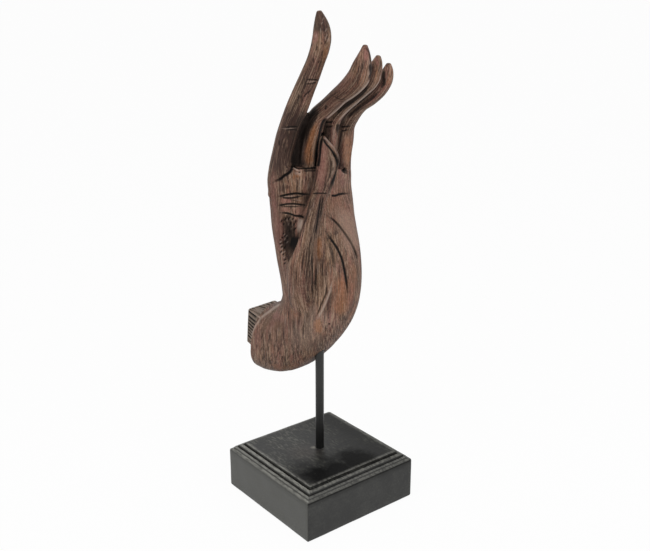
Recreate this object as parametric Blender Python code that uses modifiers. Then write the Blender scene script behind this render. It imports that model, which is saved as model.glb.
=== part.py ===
"""Hand sculpture on a steel rod over a square plinth. Metres, +Z up, front is -Y."""

import math

import bmesh
import bpy
from mathutils import Matrix, Vector

# Clearance between two pieces that touch or fit
GAP = 0.0003

# Felt sheet glued under the plinth
FELT_THICKNESS = 0.0015
FELT_INSET = 0.0035
FELT_CORNER_RADIUS = 0.004

# Plinth, with its stepped moulding as (distance in from the side, height over the block)
PLINTH_SIDE = 0.127
BLOCK_HEIGHT = 0.0395
PLINTH_CORNER_RADIUS = 0.0022
BOTTOM_EDGE_RADIUS = 0.0015
MOULDING = (
    (0.0000, -0.0012),
    (0.0004, -0.0004),
    (0.0012, 0.0000),
    (0.0030, 0.0003),
    (0.0033, 0.0020),
    (0.0038, 0.0026),
    (0.0058, 0.0028),
    (0.0061, 0.0021),
    (0.0067, 0.0021),
    (0.0070, 0.0044),
    (0.0076, 0.0051),
    (0.0101, 0.0054),
    (0.0104, 0.0048),
    (0.0110, 0.0048),
    (0.0113, 0.0073),
    (0.0120, 0.0079),
)

# Support rod, with a thinner thread at each end
ROD_DIAMETER = 0.008
THREAD_DIAMETER = 0.006
THREAD_CHAMFER = 0.0007
ROD_SOCKET_DEPTH = 0.012
ROD_ABOVE_PLINTH = 0.1108
THREAD_PAST_NUT = 0.001
UPPER_THREAD_LENGTH = 0.018

# Fixings under the plinth
COUNTERBORE_DIAMETER = 0.024
COUNTERBORE_DEPTH = 0.0135
WASHER_DIAMETER = 0.018
WASHER_THICKNESS = 0.0016
LOCK_WASHER_DIAMETER = 0.0118
LOCK_WASHER_THICKNESS = 0.0016
LOCK_WASHER_SLOT = 0.0012
NUT_FLATS = 0.010
NUT_HEIGHT = 0.005
NUT_CHAMFER = 0.0005

# Threaded insert cast into the heel of the hand
INSERT_DIAMETER = 0.011
INSERT_LENGTH = 0.016
INSERT_FLANGE_DIAMETER = 0.0125
INSERT_FLANGE_THICKNESS = 0.0015

# Hand, in its own frame: x from the index finger to the little one, y to the back of
# the hand, z up. Its tables are in steps of STEP, which make it FINGERTIP_HEIGHT high.
# The whole hand is then turned a little about the rod, with its heel on the shoulder.
FINGERTIP_HEIGHT = 0.456
FINGERTIP_STEPS = 456
STEP = FINGERTIP_HEIGHT / FINGERTIP_STEPS
HAND_TURN = math.radians(6.5)
HAND_TO_SIDE = 1.0 * STEP
HAND_TO_FRONT = 0.9 * STEP
HEEL_SOCKET_IN_HAND = 156.7 * STEP
VOXEL = 0.0018
HAND_SHARE = 0.105

# Rings of the hand: (x, y, z, half width, half depth)
PALM = (
    (-1.6, 8.6, 331.0, 40.4, 17.4),
    (-1.2, 9.2, 322.0, 41.0, 18.4),
    (-0.2, 10.8, 311.0, 42.2, 20.2),
    (1.3, 13.4, 298.0, 43.5, 21.6),
    (1.9, 12.4, 284.0, 43.3, 23.2),
    (0.7, 9.6, 270.0, 42.3, 25.2),
    (0.3, 6.0, 256.0, 41.3, 27.4),
    (0.2, 2.7, 242.0, 40.4, 29.2),
    (0.7, 0.6, 227.0, 38.5, 30.6),
    (0.8, -0.2, 212.0, 36.1, 31.6),
    (0.8, 1.8, 197.0, 33.8, 31.6),
    (0.6, 9.0, 181.5, 32.8, 30.4),
    (0.6, 20.5, 167.6, 32.2, 30.8),
    (0.3, 34.5, 155.8, 31.6, 32.6),
    (0.0, 49.5, 147.8, 31.0, 34.2),
    (0.0, 66.0, 145.2, 30.6, 34.6),
    (0.0, 84.0, 148.2, 30.2, 34.6),
)
INDEX = (
    (-30.0, 14.0, 288, 8.0, 12.0),
    (-32.4, 13.8, 298, 9.0, 14.4),
    (-35.1, 13.0, 310, 8.1, 14.8),
    (-35.9, 12.5, 323, 7.3, 12.0),
    (-35.4, 10.5, 336, 7.4, 9.7),
    (-34.6, 6.4, 349, 8.1, 9.5),
    (-34.1, 1.4, 361.5, 8.2, 8.9),
    (-33.7, -6.8, 377, 8.5, 8.9),
    (-33.5, -14.7, 391, 8.2, 8.3),
    (-33.5, -20.7, 401, 7.8, 7.9),
    (-33.5, -29.3, 416.7, 7.2, 7.2),
    (-33.5, -33.3, 425.5, 7.5, 7.3),
    (-33.5, -35.4, 434, 7.5, 7.0),
    (-33.5, -35.0, 442, 6.4, 6.0),
    (-33.5, -33.2, 450, 4.0, 3.9),
    (-33.5, -31.4, 456, 1.6, 1.6),
)
MIDDLE = (
    (-11, 10.5, 300, 9.6, 18.2),
    (-12.4, 9.0, 320, 8.4, 17.4),
    (-13.4, 5.0, 336, 7.2, 12.6),
    (-13.2, -1.5, 353, 7.1, 9.8),
    (-12.1, -7.6, 365.5, 7.1, 8.0),
    (-10.6, -19.5, 375.7, 7.4, 7.4),
    (-11.0, -31.0, 384.5, 7.2, 7.4),
    (-10.2, -45.4, 395.0, 8.6, 8.5),
    (-9.9, -53.7, 403.6, 9.1, 8.9),
    (-10.5, -57.5, 412.3, 7.8, 7.7),
    (-11, -60.1, 421, 4.9, 4.8),
    (-11, -60.8, 428.5, 1.8, 1.8),
)
RING = (
    (11.5, 9.5, 300, 9.4, 15.5),
    (10.9, 8.0, 320, 9.4, 14.4),
    (10.0, 4.0, 336, 8.3, 11.8),
    (9.1, -1.0, 351, 6.4, 9.2),
    (9.9, -4.6, 363, 6.6, 8.0),
    (11.0, -14.1, 373.9, 7.1, 7.3),
    (10.9, -27.3, 383.5, 7.0, 7.1),
    (10.8, -39.1, 391.6, 6.8, 6.9),
    (11.1, -46.4, 398.2, 6.9, 7.0),
    (11.5, -50.9, 406.5, 6.1, 6.1),
    (11.5, -53.5, 413.7, 3.9, 3.9),
    (11.5, -54.7, 418.4, 1.7, 1.7),
)
LITTLE = (
    (31.5, 11.8, 294, 9.4, 16.0),
    (31.4, 11.0, 312, 8.8, 15.2),
    (32.1, 8.6, 327, 8.6, 12.2),
    (32.4, 4.6, 341, 9.0, 9.6),
    (32.5, 2.0, 353, 8.3, 8.5),
    (32.5, -4.6, 363, 8.0, 8.1),
    (32.5, -15.0, 373.2, 7.6, 7.4),
    (32.5, -26.6, 380.8, 7.6, 7.8),
    (32.5, -38.8, 390.4, 7.2, 7.3),
    (32.5, -44.7, 398.5, 6.2, 6.3),
    (32.5, -47.0, 405.3, 4.2, 4.2),
    (32.5, -47.6, 410.4, 1.8, 1.8),
)
THUMB = (
    (-19, -1.0, 178, 5.0, 7.0),
    (-23.5, -1.6, 191, 7.6, 9.6),
    (-28, -4.0, 206, 10.0, 12.0),
    (-32, -8.0, 223, 12.0, 12.6),
    (-35, -12.0, 240, 12.6, 11.8),
    (-34.0, -14.8, 256, 10.6, 10.4),
    (-30.5, -15.6, 270, 8.6, 8.6),
    (-24.6, -14.4, 284, 7.6, 8.0),
    (-17.6, -14.0, 298, 7.4, 7.8),
    (-10.8, -14.2, 311, 9.2, 7.6),
    (-7.2, -14.6, 322, 11.0, 7.2),
    (-6.3, -15.0, 329.5, 11.6, 6.9),
    (-8.2, -15.4, 336.5, 8.9, 6.4),
    (-11.2, -15.9, 342.8, 5.6, 5.2),
    (-13.0, -16.3, 347.6, 3.3, 3.8),
    (-13.7, -16.5, 351.5, 1.6, 1.8),
)
KNUCKLES = (
    (0.6, 19.5, 300, 42.4, 14.0),
    (-0.4, 18.0, 311, 41.8, 12.8),
    (-1.2, 16.2, 320, 40.8, 11.2),
    (-1.3, 13.9, 328, 39.8, 8.9),
    (-1.3, 11.4, 335.5, 38.0, 6.4),
    (-1.3, 9.3, 342, 34.0, 4.0),
    (-1.3, 8.0, 346, 28.0, 2.0),
)
WEBS = (
    (
        (-22, 15.0, 305, 12, 8),
        (-22, 13.5, 328, 12, 7.5),
        (-22, 9.5, 344, 12, 5.2),
        (-22, 4.0, 358, 11.5, 4.6),
        (-22, -1.0, 364.5, 10.5, 3.8),
        (-22, -4.0, 369, 8.5, 2.2),
    ),
    (
        (0.2, 13.0, 305, 12, 10),
        (0.2, 9.0, 330, 12, 7.2),
        (0.2, 4.5, 346, 11, 4.6),
        (0.2, 1.0, 358, 9.5, 2.6),
    ),
    (
        (22, 14.0, 300, 12, 9),
        (22, 11.0, 322, 12, 7.2),
        (22, 7.0, 338, 11, 4.6),
        (22, 3.5, 351, 9.5, 2.6),
    ),
)

# Cut end of the wrist and the tenon on it
WRIST_END = Vector((0, 65.0, 146.6)) * STEP
WRIST_CUT_SIDE = 0.2
WRIST_CUT_DEPTH = 0.06
WRIST_SLOPE = math.radians(10.6)
TENON_WIDTH = 0.039
TENON_HEIGHT = 0.0405
TENON_LENGTH = 0.026
TENON_UNDERCUT = 0.0035
TENON_INSIDE = 0.014
TENON_EDGE = 0.0012
TENON_OFFSET = (0.003, -0.0002)
TENON_TAPER = 0.92

# Hollow between the thumb and the index finger, wider towards its top
WEB_CENTRE = Vector((-41.5, -2.5, 263.0)) * STEP
WEB_RADII = (0.009, 0.0115, 0.0225)
WEB_WIDENS = 0.25

# Flat top of the palm between the fingers, which falls towards the little finger
PALM_TOP = Vector((0, 0, 320)) * STEP
PALM_TOP_SLOPE = math.radians(9.8)

# How far a cutter reaches past the face that it opens
CUTTER_OVER = 0.002
HEEL_CUTTER_OVER = 0.05


def clear_scene():
    for obj in list(bpy.data.objects):
        bpy.data.objects.remove(obj, do_unlink=True)


def collection(name):
    made = bpy.data.collections.new(name)
    bpy.context.scene.collection.children.link(made)
    return made


def finish(name, colour, metallic, roughness):
    made = bpy.data.materials.new(name)
    made.use_nodes = True
    shader = made.node_tree.nodes["Principled BSDF"]
    shader.inputs["Base Color"].default_value = (*colour, 1)
    shader.inputs["Metallic"].default_value = metallic
    shader.inputs["Roughness"].default_value = roughness
    return made


def mesh_object(name, build, where, material=None):
    """A new object in a collection, its mesh built by the function given."""
    shape = bmesh.new()
    build(shape)
    bmesh.ops.recalc_face_normals(shape, faces=shape.faces)
    mesh = bpy.data.meshes.new(name)
    shape.to_mesh(mesh)
    shape.free()
    obj = bpy.data.objects.new(name, mesh)
    where.objects.link(obj)
    if material:
        mesh.materials.append(material)
    return obj


def cutter(name, build):
    obj = mesh_object(name, build, cutters)
    obj.hide_render = True
    obj.display_type = "WIRE"
    return obj


def boolean(obj, other, operation="DIFFERENCE"):
    cut = obj.modifiers.new(other.name, "BOOLEAN")
    cut.object = other
    cut.operation = operation
    cut.solver = "EXACT"


def bevel(obj, width, segments, angle=40):
    edge = obj.modifiers.new("Edges", "BEVEL")
    edge.width = width
    edge.segments = segments
    edge.limit_method = "ANGLE"
    edge.angle_limit = math.radians(angle)


def cylinder(shape, diameter, low, high, x=0.0, y=0.0, sides=48):
    made = bmesh.ops.create_cone(
        shape,
        cap_ends=True,
        segments=sides,
        radius1=diameter / 2,
        radius2=diameter / 2,
        depth=high - low,
    )
    bmesh.ops.translate(shape, verts=made["verts"], vec=(x, y, (low + high) / 2))


def box(shape, size, centre):
    made = bmesh.ops.create_cube(shape, size=1)
    bmesh.ops.scale(shape, verts=made["verts"], vec=size)
    bmesh.ops.translate(shape, verts=made["verts"], vec=centre)


def turned(name, outline, where, material, sides=48):
    """A piece turned on a lathe about Z: its outline as (radius, height) from axis to axis."""

    def build(shape):
        row = [shape.verts.new((radius, 0, height)) for radius, height in outline]
        for a, b in zip(row, row[1:]):
            shape.edges.new((a, b))
        bmesh.ops.spin(
            shape,
            geom=shape.verts[:] + shape.edges[:],
            cent=(0, 0, 0),
            axis=(0, 0, 1),
            angle=math.tau,
            steps=sides,
            use_merge=True,
        )
        bmesh.ops.remove_doubles(shape, verts=shape.verts, dist=0.00001)

    return mesh_object(name, build, where, material)


def loft(shape, rings, sides=28, power=2.3):
    """Skins rings of rounded-square section along their centres, with closed ends."""
    centres = [Vector(ring[:3]) * STEP for ring in rings]
    rows = []
    for i, ring in enumerate(rings):
        before = centres[max(i - 1, 0)]
        after = centres[min(i + 1, len(rings) - 1)]
        along = (after - before).normalized()
        side = (Vector((1, 0, 0)) - along * along.x).normalized()
        front = along.cross(side)
        row = []
        for k in range(sides):
            turn = math.tau * k / sides
            c = math.cos(turn)
            s = math.sin(turn)
            reach_x = math.copysign(abs(c) ** (2 / power), c) * ring[3] * STEP
            reach_y = math.copysign(abs(s) ** (2 / power), s) * ring[4] * STEP
            row.append(shape.verts.new(centres[i] + side * reach_x + front * reach_y))
        rows.append(row)
    for low, high in zip(rows, rows[1:]):
        for k in range(sides):
            n = (k + 1) % sides
            shape.faces.new((low[k], low[n], high[n], high[k]))
    shape.faces.new(rows[0])
    shape.faces.new(rows[-1][::-1])


def separate_lofts(shape):
    loft(shape, PALM, power=2.5)
    sliced = bmesh.ops.bisect_plane(
        shape,
        geom=shape.verts[:] + shape.edges[:] + shape.faces[:],
        plane_co=PALM_TOP,
        plane_no=(math.sin(PALM_TOP_SLOPE), 0, math.cos(PALM_TOP_SLOPE)),
        clear_outer=True,
    )
    rim = [part for part in sliced["geom_cut"] if isinstance(part, bmesh.types.BMEdge)]
    bmesh.ops.contextual_create(shape, geom=rim)
    for rings, power in (
        (INDEX, 2.2),
        (MIDDLE, 2.2),
        (RING, 2.2),
        (LITTLE, 2.2),
        (THUMB, 2.2),
        *((web, 2.4) for web in (KNUCKLES, *WEBS)),
    ):
        loft(shape, rings, power=power)


clear_scene()
sculpture = collection("hand_sculpture")
cutters = collection("cutters")

cast_resin = finish("cast_resin", (0.16, 0.08, 0.055), 0, 0.6)
black_paint = finish("black_paint", (0.02, 0.02, 0.02), 0, 0.4)
black_steel = finish("black_steel", (0.03, 0.03, 0.03), 1, 0.35)
zinc_steel = finish("zinc_steel", (0.6, 0.6, 0.62), 1, 0.35)
brass = finish("brass", (0.7, 0.5, 0.22), 1, 0.3)
black_felt = finish("black_felt", (0.02, 0.02, 0.02), 0, 0.95)

# Levels that several pieces share
plinth_bottom = FELT_THICKNESS + GAP
block_top = plinth_bottom + BLOCK_HEIGHT
panel_top = block_top + MOULDING[-1][1]
panel_side = PLINTH_SIDE - 2 * MOULDING[-1][0]
bore_diameter = THREAD_DIAMETER + 2 * GAP
socket_bottom = panel_top - ROD_SOCKET_DEPTH
counterbore_top = plinth_bottom + COUNTERBORE_DEPTH
washer_high = counterbore_top - GAP
washer_low = washer_high - WASHER_THICKNESS
lock_high = washer_low - GAP
lock_low = lock_high - LOCK_WASHER_THICKNESS
nut_high = lock_low - GAP
nut_low = nut_high - NUT_HEIGHT
heel_socket_top = panel_top + ROD_ABOVE_PLINTH
hand_shift = Vector((HAND_TO_SIDE, -HAND_TO_FRONT, heel_socket_top - HEEL_SOCKET_IN_HAND))


# Plinth: one block, its stepped edge, a socket for the rod and a counterbore below
def plinth_block(shape):
    rows = []
    outline = [(0, plinth_bottom)]
    outline += [(inset, block_top + rise) for inset, rise in MOULDING]
    for inset, level in outline:
        half = PLINTH_SIDE / 2 - inset
        round_off = max(PLINTH_CORNER_RADIUS - inset * 0.12, 0.0006)
        row = []
        for corner in range(4):
            middle = math.radians(45 + 90 * corner)
            centre_x = math.copysign(half - round_off, math.cos(middle))
            centre_y = math.copysign(half - round_off, math.sin(middle))
            for k in range(5):
                turn = middle + math.radians(-45 + 22.5 * k)
                row.append(
                    shape.verts.new(
                        (
                            centre_x + round_off * math.cos(turn),
                            centre_y + round_off * math.sin(turn),
                            level,
                        )
                    )
                )
        rows.append(row)
    for low, high in zip(rows, rows[1:]):
        for k in range(len(low)):
            n = (k + 1) % len(low)
            shape.faces.new((low[k], low[n], high[n], high[k]))
    shape.faces.new(rows[0][::-1])
    shape.faces.new(rows[-1])


plinth = mesh_object("plinth", plinth_block, sculpture, black_paint)
bevel(plinth, BOTTOM_EDGE_RADIUS, 2, 80)


def plinth_holes(shape):
    radius = ROD_DIAMETER / 2 + GAP
    thread = bore_diameter / 2
    wide = COUNTERBORE_DIAMETER / 2
    row = [
        (0, panel_top + CUTTER_OVER),
        (radius, panel_top + CUTTER_OVER),
        (radius, socket_bottom),
        (thread, socket_bottom),
        (thread, counterbore_top),
        (wide, counterbore_top),
        (wide, plinth_bottom - CUTTER_OVER),
        (0, plinth_bottom - CUTTER_OVER),
    ]
    points = [shape.verts.new((r, 0, z)) for r, z in row]
    for a, b in zip(points, points[1:]):
        shape.edges.new((a, b))
    bmesh.ops.spin(
        shape,
        geom=shape.verts[:] + shape.edges[:],
        cent=(0, 0, 0),
        axis=(0, 0, 1),
        angle=math.tau,
        steps=48,
        use_merge=True,
    )
    bmesh.ops.remove_doubles(shape, verts=shape.verts, dist=0.00001)


boolean(plinth, cutter("plinth_holes", plinth_holes))

# Support rod: its shoulder stands in the plinth's socket
rod_low = socket_bottom + GAP
rod_high = heel_socket_top - GAP
thread_low = nut_low - THREAD_PAST_NUT
thread_high = rod_high + UPPER_THREAD_LENGTH
turned(
    "support_rod",
    (
        (0, thread_low),
        (THREAD_DIAMETER / 2 - THREAD_CHAMFER, thread_low),
        (THREAD_DIAMETER / 2, thread_low + THREAD_CHAMFER),
        (THREAD_DIAMETER / 2, rod_low),
        (ROD_DIAMETER / 2, rod_low),
        (ROD_DIAMETER / 2, rod_high),
        (THREAD_DIAMETER / 2, rod_high),
        (THREAD_DIAMETER / 2, thread_high - THREAD_CHAMFER),
        (THREAD_DIAMETER / 2 - THREAD_CHAMFER, thread_high),
        (0, thread_high),
    ),
    sculpture,
    black_steel,
)

# Washer, split lock washer and nut on the lower thread, inside the counterbore
washer = turned(
    "plinth_washer",
    (
        (bore_diameter / 2, washer_low),
        (WASHER_DIAMETER / 2, washer_low),
        (WASHER_DIAMETER / 2, washer_high),
        (bore_diameter / 2, washer_high),
        (bore_diameter / 2, washer_low),
    ),
    sculpture,
    zinc_steel,
)

lock_washer = turned(
    "lock_washer",
    (
        (bore_diameter / 2, lock_low),
        (LOCK_WASHER_DIAMETER / 2, lock_low),
        (LOCK_WASHER_DIAMETER / 2, lock_high),
        (bore_diameter / 2, lock_high),
        (bore_diameter / 2, lock_low),
    ),
    sculpture,
    zinc_steel,
)
lock_slot_length = LOCK_WASHER_DIAMETER
boolean(
    lock_washer,
    cutter(
        "lock_washer_slot",
        lambda shape: box(
            shape,
            (LOCK_WASHER_SLOT, lock_slot_length, 4 * LOCK_WASHER_THICKNESS),
            (0, lock_slot_length / 2, (lock_low + lock_high) / 2),
        ),
    ),
)

nut = mesh_object(
    "plinth_nut",
    lambda shape: cylinder(
        shape, NUT_FLATS / math.cos(math.pi / 6), nut_low, nut_high, sides=6
    ),
    sculpture,
    zinc_steel,
)
bevel(nut, NUT_CHAMFER, 1, 70)
boolean(
    nut,
    cutter(
        "nut_bore",
        lambda shape: cylinder(
            shape, bore_diameter, nut_low - CUTTER_OVER, nut_high + CUTTER_OVER
        ),
    ),
)

# Felt sheet: it covers the counterbore and is what the sculpture stands on
felt = mesh_object(
    "felt_base",
    lambda shape: box(
        shape,
        (PLINTH_SIDE - 2 * FELT_INSET, PLINTH_SIDE - 2 * FELT_INSET, FELT_THICKNESS),
        (0, 0, FELT_THICKNESS / 2),
    ),
    sculpture,
    black_felt,
)
corner = felt.modifiers.new("Round corners", "BEVEL")
corner.width = FELT_CORNER_RADIUS
corner.segments = 4
corner.affect = "EDGES"
corner.limit_method = "WEIGHT"
weight = felt.data.attributes.new("bevel_weight_edge", "FLOAT", "EDGE")
for edge in felt.data.edges:
    low, high = (felt.data.vertices[i].co for i in edge.vertices)
    weight.data[edge.index].value = 1.0 if abs(low.z - high.z) > GAP else 0.0

# Threaded insert, sealed into the hand over the rod's shoulder
insert_low = heel_socket_top + GAP
insert_high = insert_low + INSERT_LENGTH
turned(
    "threaded_insert",
    (
        (bore_diameter / 2, insert_low),
        (INSERT_FLANGE_DIAMETER / 2, insert_low),
        (INSERT_FLANGE_DIAMETER / 2, insert_low + INSERT_FLANGE_THICKNESS),
        (INSERT_DIAMETER / 2, insert_low + INSERT_FLANGE_THICKNESS),
        (INSERT_DIAMETER / 2, insert_high),
        (bore_diameter / 2, insert_high),
        (bore_diameter / 2, insert_low),
    ),
    sculpture,
    brass,
)

# Hand: lofts of the palm and each finger, grown together and smoothed as one casting
hand = mesh_object("hand", separate_lofts, sculpture, cast_resin)
grow = hand.modifiers.new("Grow together", "REMESH")
grow.mode = "VOXEL"
grow.voxel_size = VOXEL
grow.adaptivity = 0
soften = hand.modifiers.new("Soften", "SMOOTH")
soften.factor = 0.5
soften.iterations = 4


def end_block(shape):
    box(
        shape,
        (WRIST_CUT_SIDE, WRIST_CUT_DEPTH, WRIST_CUT_SIDE),
        (0, WRIST_CUT_DEPTH / 2, 0),
    )
    bmesh.ops.rotate(
        shape,
        verts=shape.verts,
        cent=(0, 0, 0),
        matrix=Matrix.Rotation(WRIST_SLOPE, 3, "X"),
    )
    bmesh.ops.translate(shape, verts=shape.verts, vec=WRIST_END)


def tenon_block(shape):
    box(
        shape,
        (TENON_WIDTH, TENON_LENGTH + TENON_INSIDE, TENON_HEIGHT),
        (TENON_OFFSET[0], (TENON_LENGTH - TENON_INSIDE) / 2, TENON_OFFSET[1]),
    )
    for vert in shape.verts:
        if vert.co.y > 0:
            vert.co.x = TENON_OFFSET[0] + (vert.co.x - TENON_OFFSET[0]) * TENON_TAPER
            vert.co.z = TENON_OFFSET[1] + (vert.co.z - TENON_OFFSET[1]) * TENON_TAPER
            if vert.co.z < 0:
                vert.co.y -= TENON_UNDERCUT
    bmesh.ops.bevel(
        shape,
        geom=shape.edges[:],
        offset=TENON_EDGE,
        segments=1,
        affect="EDGES",
    )
    bmesh.ops.rotate(
        shape,
        verts=shape.verts,
        cent=(0, 0, 0),
        matrix=Matrix.Rotation(WRIST_SLOPE, 3, "X"),
    )
    bmesh.ops.translate(shape, verts=shape.verts, vec=WRIST_END)


def web_hollow(shape):
    bmesh.ops.create_icosphere(shape, subdivisions=3, radius=1)
    for vert in shape.verts:
        wide = 1 + WEB_WIDENS * vert.co.z
        vert.co.x *= wide
        vert.co.y *= wide
    bmesh.ops.scale(shape, verts=shape.verts, vec=WEB_RADII)
    bmesh.ops.translate(shape, verts=shape.verts, vec=WEB_CENTRE)


def heel_socket(shape):
    radius = ROD_DIAMETER / 2 + GAP
    flange = INSERT_FLANGE_DIAMETER / 2 + GAP
    body = INSERT_DIAMETER / 2 + GAP
    low = insert_low - GAP
    shelf = insert_low + INSERT_FLANGE_THICKNESS + GAP
    high = thread_high + 2 * GAP
    row = [
        (0, low - HEEL_CUTTER_OVER),
        (radius, low - HEEL_CUTTER_OVER),
        (radius, low),
        (flange, low),
        (flange, shelf),
        (body, shelf),
        (body, high),
        (0, high),
    ]
    points = [shape.verts.new((r, 0, z)) for r, z in row]
    for a, b in zip(points, points[1:]):
        shape.edges.new((a, b))
    bmesh.ops.spin(
        shape,
        geom=shape.verts[:] + shape.edges[:],
        cent=(0, 0, 0),
        axis=(0, 0, 1),
        angle=math.tau,
        steps=32,
        use_merge=True,
    )
    bmesh.ops.remove_doubles(shape, verts=shape.verts, dist=0.00001)


hand_cutters = [
    (cutter("wrist_end_cut", end_block), "DIFFERENCE"),
    (cutter("web_hollow", web_hollow), "DIFFERENCE"),
]
for tool, operation in hand_cutters:
    boolean(hand, tool, operation)
reduce = hand.modifiers.new("Fewer triangles", "DECIMATE")
reduce.ratio = HAND_SHARE
tenon = cutter("tenon_block", tenon_block)
boolean(hand, tenon, "UNION")
socket = cutter("heel_socket", heel_socket)
boolean(hand, socket)

placed = Matrix.Rotation(HAND_TURN, 4, "Z") @ Matrix.Translation(hand_shift)
for obj in (hand, tenon, *(tool for tool, _ in hand_cutters)):
    obj.matrix_world = placed
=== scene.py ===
import math

import bmesh
import bpy
import numpy as np
from mathutils import Matrix, Vector, noise


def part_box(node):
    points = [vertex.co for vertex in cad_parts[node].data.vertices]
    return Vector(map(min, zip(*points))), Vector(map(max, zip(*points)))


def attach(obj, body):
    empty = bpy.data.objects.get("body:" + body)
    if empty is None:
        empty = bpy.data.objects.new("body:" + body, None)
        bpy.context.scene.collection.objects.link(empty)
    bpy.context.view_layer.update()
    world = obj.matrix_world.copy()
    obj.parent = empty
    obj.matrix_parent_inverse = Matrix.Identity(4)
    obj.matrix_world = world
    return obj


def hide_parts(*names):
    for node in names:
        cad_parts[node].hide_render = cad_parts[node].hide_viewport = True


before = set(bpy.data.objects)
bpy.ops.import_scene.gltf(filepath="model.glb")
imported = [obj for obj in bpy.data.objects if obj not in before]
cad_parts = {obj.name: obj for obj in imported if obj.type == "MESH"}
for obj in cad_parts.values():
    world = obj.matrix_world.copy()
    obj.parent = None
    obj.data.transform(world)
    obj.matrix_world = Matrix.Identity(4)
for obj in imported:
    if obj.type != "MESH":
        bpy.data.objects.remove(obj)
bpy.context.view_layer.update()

MM = 0.001

# Camera: it stands where the photograph was taken from, worked out from the plinth's
# corners. It comes first because the carved lines of the hand are placed through it.
PHOTO_WIDTH = 650
PHOTO_HEIGHT = 551
PHOTO_FOCAL_PIXELS = 920
SENSOR_WIDTH_MM = 36
CAMERA_AZIMUTH = math.radians(-38.442)
CAMERA_ELEVATION = math.radians(18.617)
CAMERA_DISTANCE = 0.9056
CAMERA_TO_RIGHT = 0.0050
CAMERA_ABOVE_FLOOR_POINT = 0.2104
NEAREST_SEEN = 0.02


def outward(turn, rise):
    """Direction from the rod outward: turn is 0 at the front, rise is 0 on the level."""
    return Vector(
        (math.sin(turn) * math.cos(rise), -math.cos(turn) * math.cos(rise), math.sin(rise))
    )


def put(name, data):
    """An object of this data, placed in the scene."""
    obj = bpy.data.objects.new(name, data)
    bpy.context.scene.collection.objects.link(obj)
    return obj


camera_back = outward(CAMERA_AZIMUTH, CAMERA_ELEVATION)
camera_right = Vector((math.cos(CAMERA_AZIMUTH), math.sin(CAMERA_AZIMUTH), 0))
camera_up = camera_back.cross(camera_right)
plinth_low, plinth_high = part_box("plinth")
camera_place = (
    camera_right * CAMERA_TO_RIGHT
    + camera_up * CAMERA_ABOVE_FLOOR_POINT
    + camera_back * CAMERA_DISTANCE
    + Vector((0, 0, plinth_low.z))
)
camera_turn = Matrix((camera_right, camera_up, camera_back)).transposed()
camera = put("camera", bpy.data.cameras.new("camera"))
camera.data.sensor_width = SENSOR_WIDTH_MM
camera.data.lens = SENSOR_WIDTH_MM * PHOTO_FOCAL_PIXELS / PHOTO_WIDTH
camera.data.clip_start = NEAREST_SEEN
camera.matrix_world = Matrix.Translation(camera_place) @ camera_turn.to_4x4()
bpy.context.scene.camera = camera


def sight_line(u, v):
    """Direction from the camera through a pixel of the photograph."""
    along = Vector(
        (
            (u - PHOTO_WIDTH / 2) / PHOTO_FOCAL_PIXELS,
            (PHOTO_HEIGHT / 2 - v) / PHOTO_FOCAL_PIXELS,
            -1,
        )
    )
    return (camera_turn @ along).normalized()


# Felt base: a sheet of black wool felt with an adhesive back, glued under the plinth.
# It is matt and slightly fuzzy, with pressed fibres in every direction.
def linear(hex_colour):
    """An sRGB hex colour as the linear RGBA that shader sockets take."""
    parts = [int(hex_colour[i : i + 2], 16) / 255 for i in (1, 3, 5)]
    light = [c / 12.92 if c <= 0.04045 else ((c + 0.055) / 1.055) ** 2.4 for c in parts]
    return (*light, 1)


def fill(socket, value):
    """Fills a shader socket with a number, a hex colour or what another node gives."""
    if isinstance(value, bpy.types.Node):
        value = next(output for output in value.outputs if output.enabled)
    if isinstance(value, bpy.types.NodeSocket):
        tree.links.new(value, socket)
    else:
        socket.default_value = linear(value) if isinstance(value, str) else value


def add(kind, *values, **named):
    """A shader node in the tree at hand. The values fill its open sockets in order. A name
    with a capital is a socket's, and any other is a setting's."""
    node = tree.nodes.new("ShaderNode" + kind)
    for name, value in named.items():
        if name[0].islower():
            setattr(node, name, value)
    for socket, value in zip([each for each in node.inputs if each.enabled], values):
        fill(socket, value)
    for name, value in named.items():
        if name[0].isupper():
            fill(node.inputs[name], value)
    return node


def new_material(name):
    material = bpy.data.materials.new(name)
    material.use_nodes = True
    return material, material.node_tree, material.node_tree.nodes["Principled BSDF"]


def surface(values):
    """Fills sockets of the shader at hand, by their names."""
    for name, value in values.items():
        fill(shader.inputs[name], value)


# Pressed wool felt: fibres 0.3 mm apart, no gloss, a faint fuzz at grazing angles
FELT_FIBRE = 0.3 * MM
felt_look, tree, shader = new_material("pressed_wool_felt")
place = add("TexCoord").outputs["Object"]
fibres = add("TexNoise", place, 1 / (3 * FELT_FIBRE), 5, Distortion=1.5)
surface(
    {
        "Base Color": add("Mix", fibres, "#101011", "#2b2b2c", data_type="RGBA"),
        "Normal": add("Bump", Height=fibres, Distance=0.2 * MM, Strength=0.8),
        "Roughness": 0.95,
        "Sheen Weight": 0.2,
        "Specular IOR Level": 0.2,
    }
)


def repaint(node, material):
    """Gives a CAD node that stays as it is its finish."""
    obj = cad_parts[node]
    for material_slot in obj.material_slots:
        material_slot.material = material


repaint("felt_base", felt_look)

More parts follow.
